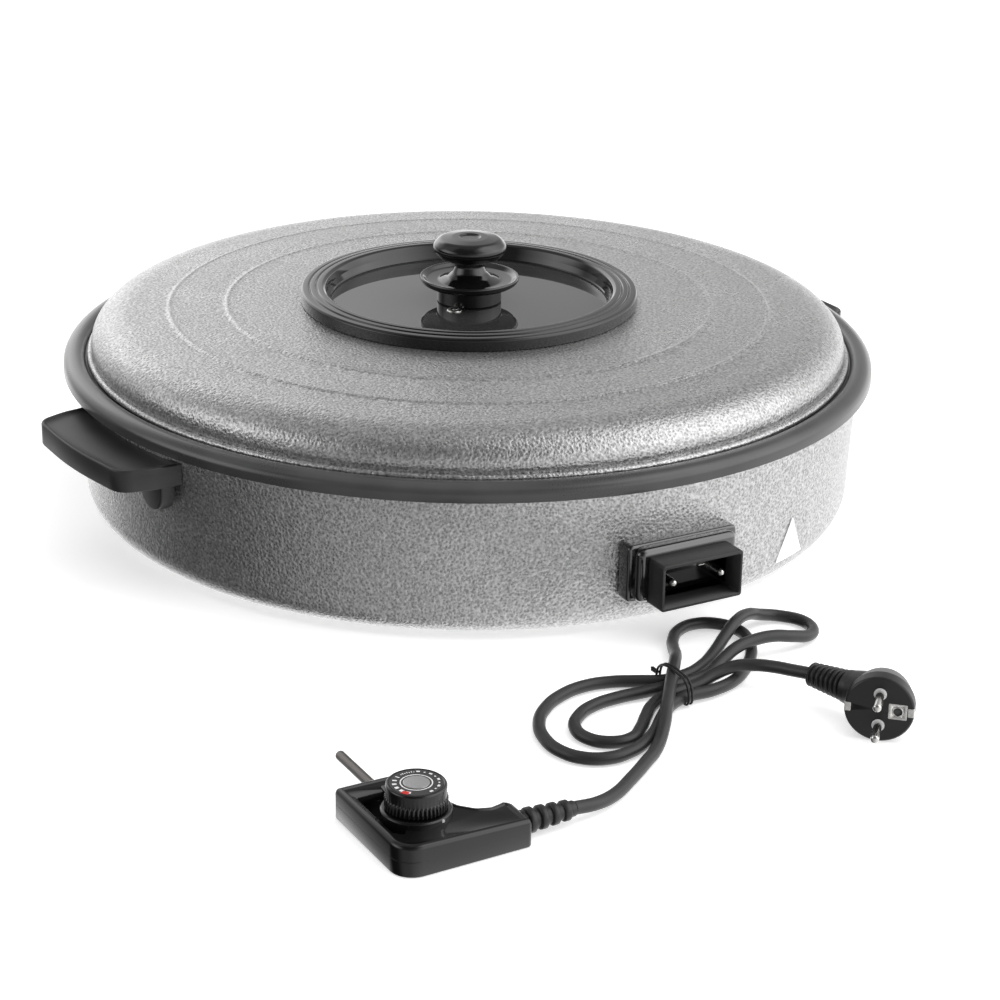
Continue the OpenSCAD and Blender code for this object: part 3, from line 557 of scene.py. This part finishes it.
def add_lid():
    rs = [101, 102.5, 108, 113.6, 114.4, 116, 122, 130, 140, 150, 158]
    rs += [160 + 0.5 * i for i in range(13)] + [170, 178, 186, 194]
    rs += [197 + 0.5 * i for i in range(15)] + [208, 213]
    path = [(r, crown(r)) for r in rs]
    z0 = crown(219)
    h = z0 - 108
    shoulder = []
    for i in range(25):
        a = math.radians(84 - 84 * i / 24)
        k = 2 / 2.25
        shoulder.append((219 + 32.3 * math.cos(a) ** k, 108 + h * math.sin(a) ** k))
    path += [(216.5, crown(216.5))] + shoulder
    path += [(250.6, 105.4), (250.7, 104.6)]
    bead = arc(252.1, 103.2, 2.2, 2.2, 140, -200, 16)
    inner = [(p[0] - 1.2, p[1] - 0.4) for p in shoulder[4:]]
    inside = [(r, crown(r) - 1.2) for r in rs] + [(216.5, crown(216.5) - 1.2)]
    prof = path + bead + inner[::-1] + inside[::-1]
    ob = lathe("lid_dome", prof, HAMMER, "lid", 432, None, 50)
    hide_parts("lid_shell")


def add_ring():
    z = 133.2
    raw = [(92.6, z - 0.4), (100.6, z - 0.4), (100.6, z), (111.9, z), (112.5, z + 0.7), (112.5, z + 7.2)]
    raw += [(111.2, z + 8.6), (107.7, z + 8.8), (107.2, z + 8.2), (106.6, z + 8.2), (106.0, z + 9.2)]
    raw += [(103.0, z + 9.4), (102.4, z + 8.8), (101.8, z + 8.8), (101.2, z + 9.6), (98.0, z + 9.7)]
    raw += [(96.0, z + 8.6), (94.6, z + 4.0), (93.2, z + 0.4)]
    radii = [0, 0, 0, 0.4, 0.7, 1.4, 1.4, 0.5, 0.3, 0.3, 0.6, 0.6, 0.3, 0.3, 0.6, 1.6, 1.6, 2, 0.5]
    ob = lathe("window_bezel", fillet(raw, radii, 4), GLOSS, "lid", 360, None, 40)
    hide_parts("window_ring")


def add_knob():
    z = 132.0                             # top of the glass
    g = z + 11                            # underside of the dished guard
    raw = [(2.7, z), (20.9, z), (21.5, z + 0.8), (21.5, g - 0.6), (22.4, g + 0.2), (29.6, g + 0.8)]
    raw += [(32.5, g + 2.8), (33.2, g + 5.2), (32.6, g + 6.4), (31.2, g + 6.0), (28.6, g + 3.8), (21, g + 3.2)]
    raw += [(15, g + 5.6), (11.4, g + 9), (9.6, g + 13), (9.4, z + 28.5), (2.7, z + 28.5)]
    radii = [0, 0.6, 0.6, 1, 1, 3, 3, 1, 0.6, 0.8, 3, 5, 6, 6, 4, 0, 0]
    base = lathe("knob_guard", fillet(raw, radii, 5), GLOSS, "lid", 128, None, 40)
    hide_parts("knob_base")
    c = z + 28.5                          # underside of the knob
    raw = [(2.5, c), (10.4, c), (19.5, c + 1.3), (24.3, c + 6.4), (24.3, c + 10.2), (20.5, c + 14.5)]
    raw += [(12, c + 15.5), (7.4, c + 15.6), (6.5, c + 14.9), (5.6, c + 14.6), (0.0, c + 14.6), (0.0, c + 9.5)]
    raw += [(2.5, c + 9.5)]
    radii = [0, 1.4, 5, 4, 4.5, 6, 8, 0.8, 0.5, 0.6, 0, 0, 0]
    cap = lathe("knob_grip", fillet(raw, radii, 6), GLOSS, "lid", 128, None, 40)
    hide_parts("knob_cap")


def add_eyelet():
    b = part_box("vent_eyelet")
    cx, cy = (b[0][0] + b[1][0]) / 2 / MM, (b[0][1] + b[1][1]) / 2 / MM
    z = b[0][2] / MM
    raw = [(1.8, z), (5.0, z), (5.0, z + 0.8), (3.0, z + 0.8), (3.0, z + 4.8), (5.1, z + 4.8), (5.2, z + 5.2)]
    raw += [(4.6, z + 6.0), (2.9, z + 6.1), (1.8, z + 5.3)]
    ob = lathe("steam_eyelet", fillet(raw, [0, 0.2, 0.2, 0, 0, 0, 0.3, 0.5, 0.6, 0.4], 3), NICKEL, "lid", 48,
               Matrix.Translation((cx, cy, 0)), 60)
    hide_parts("vent_eyelet")


# ---------------------------------------------------------------- grips
def grip_outline(n=14):
    """Seen from above, outer edge towards +x; the inner side is inside the housing."""
    raw = [(254, -61), (272, -60), (293.5, -54), (298.6, 0), (293.5, 54), (272, 60), (254, 61)]
    return fillet(raw, [0, 40, 15, 400, 15, 40, 0], n)


def add_grip(name, node, turn):
    place = Matrix.Rotation(math.radians(turn), 4, "Z")
    o = grip_outline()
    hollow, low, top = 84.2, 74.3, 88.4   # roof of the hollow underneath, lower edge, upper face
    steps = [(-3.4, hollow), (-3.2, low + 1.0), (-2.6, low + 0.1), (-0.5, low), (0, low + 0.7)]
    steps += [(0.0, top - 1.0), (-0.3, top - 0.3), (-0.9, top), (-1.7, top - 0.1)]
    steps += [(-2.4, top - 0.8), (-3.6, top - 1.3), (-8, top - 1.6)]
    levels = [(grown(o, d), z) for d, z in steps]
    parts = [stack("grip_plate", levels, SATIN, None, place, 45)]
    outwards = Matrix(((0, 0, 1, 0), (1, 0, 0, 0), (0, 1, 0, 0), (0, 0, 0, 1)))
    for y in (-46, 46):
        side = [(-14, 15.5), (14, 15.5)] + arc(0, 0, 14, 14, 0, -180, 24)
        m = place @ Matrix.Translation((258, y, 70)) @ outwards
        parts.append(slab("grip_foot", side, 0, 10, 1.6, SATIN, None, m, 4, 50))
    ob = join(name, parts, "griddle")
    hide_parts(node)


# ---------------------------------------------------------------- inlet
def add_inlet():
    def front(y):
        """Outline plane x,z with thickness towards -y from y."""
        return Matrix.Translation((0, y, 0)) @ Matrix(((1, 0, 0, 0), (0, 0, -1, 0), (0, 1, 0, 0), (0, 0, 0, 1)))

    def at(outline, cz):
        return [(p[0], p[1] + cz) for p in outline]
    plate = slab("inlet_plate", at(rect(77, 37, 3), 42.5), 0, 11.5, 2.0, POLISHED, None, front(-256.5), 5)
    step = slab("inlet_step", at(rect(70, 35, 4.5), 42.4), 0, 18.5, 4.6, POLISHED, None, front(-256.5), 8)
    hood = slab("inlet_hood", at(rect(57, 29.4, 1.6), 39.8), 0, 30, 0.5, SATIN, None, front(-260))
    for ob in (step, hood):
        m = slab("room", at(rect(53, 25.4, 1.0), 39.8), 0, 40, 0.02, SATIN, None, front(-265.2), 1)
        cut(ob, m)
    lip = [(4.1, 0), (5.6, 0), (5.6, 1.0), (5.2, 1.4), (4.4, 1.4), (4.1, 1.1)]
    socket = lathe("probe_lip", lip, SATIN, None, 48, front(-265) @ Matrix.Translation((0, 40, 0)))
    ob = join("inlet_moulding", [plate, step, hood, socket], "griddle")
    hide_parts("inlet_housing")
    tab = slab("earth_tab", rect(4.2, 5.2, 0.5), 0, 0.8, 0.15, NICKEL, "griddle",
               Matrix.Translation((0, -285.5, 50.6)) @ Matrix.Rotation(math.radians(28), 4, "X"))


# ---------------------------------------------------------------- thermostat control
def control_outline():
    raw = [(-26, 42), (-26, -20.5)]
    corner = [math.radians(a) for a in range(190, 271, 10)]
    raw += [(-13 + 13 * math.cos(a), -20.5 + 13 * math.sin(a)) for a in corner]
    raw += [(50, -32.6), (50, -12), (48.4, -9.2), (45.6, -7.6), (42.6, -8.8), (37, -10.4), (30, -8.6)]
    raw += [(23.4, -2.4), (20.0, 7), (20.4, 20), (25, 30), (25, 42)]
    return raw


def add_control():
    o = fillet(control_outline(), [2.2, 0] + [0] * 9 + [2.4, 2, 2, 2, 3, 4, 5, 5, 5, 5, 2, 2.2], 3)
    levels = [(grown(o, -0.9), 0.2), (grown(o, -0.3), 0.5), (o, 1.2), (o, 8.84), (grown(o, -0.12), 8.96)]
    lower = stack("control_base_half", levels, HOUSING, None, AT_CTRL, 40)

    def tops(d, dz):
        """One level of the upper half, whose top falls a little towards the cord's end."""
        pts = grown(o, d)
        return pts, [18 + dz - max(0.0, (p[0] - 16) * 0.058) for p in pts]
    levels = [(grown(o, -0.12), 9.0), (grown(o, 0.0), 9.12)]
    levels += [tops(0, -3.0), tops(-0.35, -1.6), tops(-1.1, -0.55), tops(-2.3, -0.05), tops(-3.2, 0.0)]
    levels += [tops(-3.7, -0.5), tops(-4.3, -0.9)]
    upper = stack("control_top_half", levels, HOUSING, None, AT_CTRL, 40)
    recess = fillet([(-20.4, -13), (-15.5, -17.6), (-12, -12), (0, 8), (2, 28), (-20.4, 28)], 1.2, 3)
    cutter = stack("recess", [(recess, 12.4), (recess, 22)], HOUSING, None, AT_CTRL)
    cut(upper, cutter)
    for ob in (lower, upper):
        for x in (-17, 17):
            m = AT_CTRL @ Matrix.Translation((x, 44, 9)) @ Matrix.Rotation(math.radians(90), 4, "X")
            cut(ob, lathe("socket_cut", [(0, 0), (3.4, 0), (3.4, 20), (0, 20)], HOUSING, None, 32, m))
    raw = [(4.4, 13), (18.6, 13), (18.6, 19.8), (17.9, 20.5), (17.2, 20.6), (4.4, 20.6)]
    collar = lathe("collar", fillet(raw, [0, 0, 0.5, 0.5, 0.5, 0], 3), HOUSING, None, 96, AT_CTRL)
    bridge = fillet([(-2, 12), (8, 17), (20, 24), (20, 33), (-4, 33), (-6, 15)], 2, 3)
    web = slab("web", bridge, 12, 17.9, 0.6, HOUSING, None, AT_CTRL)
    top = join("control_cover", [upper, collar, web], "control_lead")
    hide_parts("control_upper")
    base = join("control_tray", [lower], "control_lead")
    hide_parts("control_lower")
    pin = lathe("level_mark", [(0, 0), (0.9, 0), (0.9, 0.3), (0, 0.3)], PRINT_WHITE, "control_lead", 24,
                AT_CTRL @ Matrix.Translation((6.2, -17.45, 19.2)) @ Matrix.Rotation(math.radians(90), 4, "X"))


def sector(r0, r1, a0, a1, n=6):
    """The outline of a ring's sector between two radii and two angles in degrees."""
    out = [math.radians(a0 + (a1 - a0) * i / n) for i in range(n + 1)]
    back = [math.radians(a1 - (a1 - a0) * i / n) for i in range(n + 1)]
    return [(r1 * math.cos(a), r1 * math.sin(a)) for a in out] + [(r0 * math.cos(a), r0 * math.sin(a)) for a in back]


def add_dial():
    z = 21.1                              # underside of the dial
    ribs = 44
    turns = [2 * math.pi * k / (ribs * 8) for k in range(ribs * 8)]

    def ribbed(r, depth):
        rs = [r + depth * (0.5 + 0.5 * math.cos(ribs * a)) ** 0.6 for a in turns]
        return [(q * math.cos(a), q * math.sin(a)) for q, a in zip(rs, turns)]
    shape = [(15.4, 0.2, 0), (15.7, 0.75, 0.5), (15.7, 0.8, 5.6), (15.7, 0.5, 6.1), (15.7, 0, 6.5), (15.9, 0, 12.0),
             (15.6, 0, 12.8), (15.1, 0, 13.3), (14.4, 0, 13.35), (14.1, 0, 13.1)]
    levels = [(ribbed(r, depth), z + up) for r, depth, up in shape]
    body = stack("dial_knob", levels, HOUSING, "dial", AT_CTRL, 50)
    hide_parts("dial")
    f = z + 13.1
    disc = [(0, f), (13.9, f), (13.9, f + 0.12), (0, f + 0.12)]
    face = lathe("dial_face", disc, HOUSING, "dial", 96, AT_CTRL)
    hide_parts("dial_plate")
    t = f + 0.12
    centre = fillet([(0, t), (6.9, t), (6.9, t + 0.2), (6.5, t + 0.35), (0, t + 0.35)], [0, 0, .1, .1, 0], 2)
    button = lathe("dial_button", centre, PRINT_GREY, "dial", 64, AT_CTRL)
    verts, faces = [], []

    def patch(outline, h=0.06):
        base = len(verts)
        m = len(outline)
        verts.extend([(p[0], p[1], t) for p in outline] + [(p[0], p[1], t + h) for p in outline])
        faces.append(tuple(base + i for i in range(m - 1, -1, -1)))
        faces.append(tuple(base + m + i for i in range(m)))
        for i in range(m):
            j = (i + 1) % m
            faces.append((base + i, base + j, base + m + j, base + m + i))
    # a fine ring round the button
    for i in range(24):
        patch(sector(7.9, 8.55, 15 * i, 15 * i + 15.2, 2))
    # wedges that grow round the left, and ticks on the right
    for i in range(6):
        a = 118 + 19 * i
        patch(sector(10.0 + 0.1 * i, 12.4, a + 2, a + 6 + 1.9 * i, 4))
    for i in range(9):
        a = 58 - 17 * i
        wide = 9 if i % 2 == 0 else 5
        patch(sector(11.2, 12.5 if i % 2 == 0 else 12.1, a - wide / 2, a + wide / 2, 3))
    for i in range(7):
        a = 106 - 6.2 * i
        patch(sector(10.9, 12.1 if i % 2 else 11.7, a - 1.3, a + 1.3, 2))
    marks = add_object("dial_marks", verts, faces, PRINT_WHITE, "dial", 30, place=AT_CTRL)
    verts, faces = [], []
    a = math.degrees(math.atan2(-7.9, -11.3))
    patch(sector(10.8, 13.7, a - 9, a + 9), 0.1)
    red = add_object("dial_index", verts, faces, PRINT_RED, "dial", 30, place=AT_CTRL)


def add_probe():
    place = AT_CTRL @ Matrix.Translation((0, 42, 9)) @ Matrix.Rotation(math.radians(-90), 4, "X")
    raw = [(0, 0), (3.9, 0), (3.9, 1.2), (3.4, 1.7), (2.8, 1.9)] + [(2.8, 45.2)]
    raw += arc(0, 45.2, 2.8, 2.8, 8, 90, 8)
    ob = lathe("probe_rod", raw, STEEL, "control_lead", 48, place, 50)
    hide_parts("probe")


# ---------------------------------------------------------------- plug
def add_plug():
    side = AT_PLUG @ Matrix.Rotation(math.radians(-90), 4, "Y")     # z runs back from the face
    r = 19.5
    raw = [(0, 0.0), (18.6, 0.0), (r, 0.9), (r, 8.4), (19.0, 9.6), (17.6, 15), (15.6, 22), (12.5, 26.6)]
    raw += [(6, 28), (0, 28)]
    disc = lathe("plug_disc", fillet(raw, [0, 0.8, 0.8, 1, 2, 6, 6, 5, 4, 0], 4), PLUG, None, 128, side, 50)
    for y in (-1, 1):
        m = AT_PLUG @ Matrix.Translation((-3.5, y * 20.2, 0))
        cutter = slab("clip_cut", rect(7.8, 4.2, 0.4), -3.2, 3.2, 0.05, PLUG, None, m, 1)
        cut(disc, cutter)
    lean = Matrix.Translation((-20, -10, 0)) @ Matrix.Rotation(math.radians(-120), 4, "Z")
    lean = AT_PLUG @ lean @ Matrix.Rotation(math.radians(90 + math.degrees(math.atan2(1.6, 38))), 4, "Y")
    n = 7
    prof = [(0, -4), (11, -4), (10.6, 6), (9.7, 12)]
    x = 13.0
    for i in range(n):
        rr = 9.0 - 2.2 * i / n
        core = 7.4 - 1.9 * i / n
        prof += [(core, x), (core, x + 0.7), (rr - 0.3, x + 1.1), (rr, x + 1.5), (rr, x + 2.2)]
        prof += [(rr - 0.3, x + 2.6), (core, x + 3.0)]
        x += 3.5
    prof += [(5.2, x + 0.1), (4.9, 37.6), (4.4, 38), (0, 38)]
    sleeve = lathe("plug_sleeve", prof, PLUG, None, 64, lean, 50)
    neck = []
    for s in range(7):
        f = s / 6
        rad = 14.5 - 4.0 * f
        neck.append((circle(rad, 40), -9 + 17 * f))
    shoulder = stack("plug_neck", neck, PLUG, None, lean, 60)
    ob = join("plug_moulding", [disc, sleeve, shoulder], "control_lead")
    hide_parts("plug_body")
    pins = []
    blade = [(0, -2), (2.4, -2), (2.4, 17.5), (2.2, 18.2), (1.6, 18.8), (0, 19.0)]
    seat = [(2.4, -0.2), (3.6, -0.2), (3.6, 0.35), (3.3, 0.5), (2.4, 0.5)]
    for z in (-9.5, 9.5):
        m = AT_PLUG @ Matrix.Translation((0, 0, z)) @ ON_SIDE
        pins.append(lathe("pin", blade, NICKEL, None, 40, m, 60))
        pins.append(lathe("pin_seat", seat, PRINT_WHITE, None, 40, m, 60))
    ob = join("plug_blades", pins, "control_lead")
    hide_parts("plug_pins")
    bits = []
    for y in (-1, 1):
        m = AT_PLUG @ Matrix.Translation((-3.3, y * 18.75, 0))
        bits.append(slab("clip", rect(6.6, 1.2, 0.3), -2.8, 2.8, 0.2, NICKEL, None, m, 2))
        m = AT_PLUG @ Matrix.Translation((0.02, y * 17.3, 0)) @ ON_SIDE
        bits.append(slab("clip_end", rect(5.2, 3.2, 0.5), -1.5, 0.14, 0.06, NICKEL, None, m, 2))
    m = AT_PLUG @ Matrix.Translation((0, 10.2, 0)) @ ON_SIDE
    frame_plate = slab("earth_plate", rect(9.4, 10.4, 0.6), -1.0, 0.35, 0.15, NICKEL, None, m, 2)
    cut(frame_plate, lathe("hole", [(0, -3), (2.5, -3), (2.5, 3), (0, 3)], NICKEL, None, 32, m))
    bits.append(frame_plate)
    tube = [(2.5, -9), (3.2, -9), (3.2, 0.4), (3.0, 0.6), (2.6, 0.6), (2.5, 0.5)]
    bits.append(lathe("earth_tube", tube, NICKEL, None, 40, m, 60))
    ob = join("plug_earthing", bits, "control_lead")
    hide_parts("plug_earth_contacts")


TIE_WIRE = 0.0014                         # metres


def add_tie():
    """A plastic-coated wire once round the bundle, its ends twisted together at the side."""
    loops = []
    ring = [(-361.0, 3), (-361.2, 9), (-357, 15.6), (-348, 17.4), (-338, 17.2), (-330, 13.6), (-327.4, 8),
            (-328.4, 2.6), (-334, 1.0), (-345, 0.95), (-355, 1.0)]
    for x, lift in ((-55.2, 0.0), (-52.8, 0.15)):
        data = bpy.data.curves.new("tie", "CURVE")
        data.dimensions = "3D"
        data.bevel_depth = TIE_WIRE / 2
        data.bevel_resolution = 3
        spline = data.splines.new("BEZIER")
        spline.bezier_points.add(len(ring) - 1)
        for bp, (y, z) in zip(spline.bezier_points, ring):
            bp.co = Vector((x + 0.3 * math.sin(z), y, z + lift)) * MM
            bp.handle_left_type = bp.handle_right_type = "AUTO"
        spline.use_cyclic_u = True
        data.materials.append(TIE)
        ob = bpy.data.objects.new("tie_loop", data)
        scene.collection.objects.link(ob)
        loops.append(ob)
    data = bpy.data.curves.new("tie_twist", "CURVE")
    data.dimensions = "3D"
    data.bevel_depth = TIE_WIRE / 2
    data.bevel_resolution = 3
    for phase in (0, math.pi):
        spline = data.splines.new("BEZIER")
        spline.bezier_points.add(8)
        for i, bp in enumerate(spline.bezier_points):
            a = phase + i * 1.5
            bp.co = Vector((-54 + 0.8 * math.cos(a), -327.2 + 0.8 * i, 8 + 0.8 * math.sin(a))) * MM
            bp.handle_left_type = bp.handle_right_type = "AUTO"
    data.materials.append(TIE)
    ob = bpy.data.objects.new("tie_twist", data)
    scene.collection.objects.link(ob)
    loops.append(ob)
    out = join("tie", loops, "control_lead")
    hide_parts("twist_tie")
    return out


relief = strain_relief()
add_plug()
tie = add_tie()

add_shell()
add_pan()
add_lid()
add_ring()
add_knob()
add_eyelet()
add_grip("grip_left", "handle_left", 186)
add_grip("grip_right", "handle_right", 6)
add_inlet()
add_control()
add_dial()
add_probe()


# ---------------------------------------------------------------- finish of the CAD pieces that stay
FINISH = {
    "lid_glass": GLASS, "window_clamp_ring": SATIN, "window_gasket": SEAL, "ring_screws": ZINC,
    "knob_screw": ZINC, "knob_washers": ZINC, "bottom_cover": HAMMER_FLAT, "cover_screws": ZINC,
    "feet": FOOT, "standoffs": ZINC,
    "heating_element": SHEATH, "element_clamps": ZINC, "probe_guide": CAST, "inlet_pins": NICKEL,
    "inlet_earth_clip": NICKEL, "inlet_clamp_plate": ZINC, "inlet_screws": ZINC, "supply_wires": WHITE_SLEEVE,
    "earth_wire": EARTH, "handle_washers": ZINC, "handle_screws": ZINC, "triangle_label": LABEL,
    "control_screws": ZINC, "contact_sockets": BRASS, "thermostat_frame": ZINC, "bimetal_blade": BRASS,
    "switch_contacts": NICKEL, "lead_wires": WHITE_SLEEVE, "cord_clamp": ZINC, "dial_spindle": ZINC,
}
for node, mat in FINISH.items():
    ob = NODES[node]
    if not ob.material_slots:
        ob.data.materials.append(mat)
    for s in ob.material_slots:
        s.material = mat

# ---------------------------------------------------------------- stage
FLOOR_GLOW = 0.50
FLOOR_HALF = 40                           # metres


def add_floor():
    """White paper: it is bright to look at, and lets the studio's light through to the object's sides."""
    mesh = bpy.data.meshes.new("floor")
    s = FLOOR_HALF
    mesh.from_pydata([(-s, -s, 0), (s, -s, 0), (s, s, 0), (-s, s, 0)], [], [(0, 1, 2, 3)])
    mat = bpy.data.materials.new("floor_paper")
    mat.use_nodes = True
    t = mat.node_tree
    t.nodes.clear()
    out = t.nodes.new("ShaderNodeOutputMaterial")
    mix = t.nodes.new("ShaderNodeMixShader")
    add = t.nodes.new("ShaderNodeAddShader")
    glow = t.nodes.new("ShaderNodeEmission")
    glow.inputs["Color"].default_value = (1, 1, 1, 1)
    glow.inputs["Strength"].default_value = FLOOR_GLOW
    paper = t.nodes.new("ShaderNodeBsdfDiffuse")
    paper.inputs["Color"].default_value = (0.9, 0.9, 0.9, 1)
    clear = t.nodes.new("ShaderNodeBsdfTransparent")
    rays = t.nodes.new("ShaderNodeLightPath")
    t.links.new(rays.outputs["Is Camera Ray"], mix.inputs[0])
    t.links.new(clear.outputs[0], mix.inputs[1])
    t.links.new(glow.outputs[0], add.inputs[0])
    t.links.new(paper.outputs[0], add.inputs[1])
    t.links.new(add.outputs[0], mix.inputs[2])
    t.links.new(mix.outputs[0], out.inputs[0])
    mesh.materials.append(mat)
    ob = bpy.data.objects.new("floor", mesh)
    scene.collection.objects.link(ob)


# Brightness of the studio by direction, in degrees round from the camera's side towards its right:
# below and at the horizon, on the walls, and in the soft boxes above them
LOW = [(-90, 0.02), (-66, 0.05), (-38, 0.42), (-10, 0.5), (15, 0.85), (45, 1.1), (100, 1.3), (150, 1.4),
       (178, 1.4), (-162, 1.5), (-148, 1.4), (-128, 0.5), (-104, 0.03)]
WALLS = [(-92, 1.6), (-74, 1.9), (-56, 1.0), (-40, 0.15), (-10, 0.1), (20, 0.4), (45, 1.5), (60, 2.0), (95, 2.3),
         (120, 1.3), (140, 0.65), (165, 0.45), (180, 0.6), (-170, 1.2), (-150, 2.1), (-130, 0.9), (-110, 0.4)]
BOXES = [(-62, 0.1), (-82, 0.5), (-98, 0.5), (-128, 0.3), (-148, 0.32), (-170, 0.36), (180, 0.32), (165, 0.32),
         (145, 0.45), (125, 1.4), (98, 2.1), (66, 1.9), (46, 0.7), (20, 0.1), (-20, 0.06)]
CEILING = 0.28
WORLD_STRENGTH = 2.0                      # the ramps hold brightness over this, because a ramp's colour stops at 1


def add_world():
    world = bpy.data.worlds.new("studio")
    scene.world = world
    world.use_nodes = True
    t = world.node_tree
    bg = next(n for n in t.nodes if n.type == "BACKGROUND")
    bg.inputs["Strength"].default_value = WORLD_STRENGTH
    coord = t.nodes.new("ShaderNodeTexCoord")
    turn = t.nodes.new("ShaderNodeMapping")
    turn.inputs["Rotation"].default_value = (0, 0, VIEW_AZIMUTH)
    t.links.new(coord.outputs["Generated"], turn.inputs["Vector"])
    around = t.nodes.new("ShaderNodeTexGradient")
    around.gradient_type = "RADIAL"
    t.links.new(turn.outputs["Vector"], around.inputs["Vector"])
    split = t.nodes.new("ShaderNodeSeparateXYZ")
    t.links.new(coord.outputs["Generated"], split.inputs[0])

    def ramp(fac, stops):
        r = t.nodes.new("ShaderNodeValToRGB")
        stops = sorted(stops)
        r.color_ramp.elements[0].position, r.color_ramp.elements[0].color = stops[0][0], grey(stops[0][1])
        r.color_ramp.elements[1].position, r.color_ramp.elements[1].color = stops[-1][0], grey(stops[-1][1])
        for pos, value in stops[1:-1]:
            r.color_ramp.elements.new(pos).color = grey(value)
        t.links.new(fac, r.inputs["Fac"])
        return r.outputs["Color"]

    def walls(stops):
        out = sorted(((0.25 + a / 360) % 1.0, v / WORLD_STRENGTH) for a, v in stops)
        (p0, v0), (p1, v1) = out[0], out[-1]
        seam = v0 + (v1 - v0) * p0 / max(1e-6, p0 + 1 - p1)
        ends = ([(0.0, seam)] if p0 > 0 else []) + [(1.0, seam if p0 > 0 else v0)]
        return ramp(around.outputs["Fac"], out + ends)

    def mix(fac, a, b):
        m = t.nodes.new("ShaderNodeMix")
        m.data_type = "RGBA"
        t.links.new(fac, m.inputs[0])
        t.links.new(a, m.inputs[6])
        if isinstance(b, float):
            m.inputs[7].default_value = grey(b)
        else:
            t.links.new(b, m.inputs[7])
        return m.outputs[2]
    height = split.outputs["Z"]

    def rise(low, high):
        return ramp(height, [(0.0, 0.0), (low, 0.0), (high, 1.0), (1.0, 1.0)])
    room = mix(rise(0.06, 0.20), walls(LOW), walls(WALLS))
    room = mix(rise(0.52, 0.68), room, walls(BOXES))
    room = mix(rise(0.90, 0.97), room, CEILING / WORLD_STRENGTH)
    rays = t.nodes.new("ShaderNodeLightPath")
    t.links.new(mix(rays.outputs["Is Camera Ray"], room, 1 / WORLD_STRENGTH), bg.inputs["Color"])


def add_overhead():
    """A broad soft panel above. It lights matt surfaces and isn't seen in the glossy ones."""
    data = bpy.data.lights.new("overhead", "AREA")
    data.shape = "RECTANGLE"
    data.size, data.size_y = 3.0, 2.4
    data.energy = 32
    ob = bpy.data.objects.new("overhead", data)
    scene.collection.objects.link(ob)
    ob.location = camera_turn((0.2, -0.3, 2.4))
    ob.visible_glossy = False


add_floor()
add_world()
add_overhead()
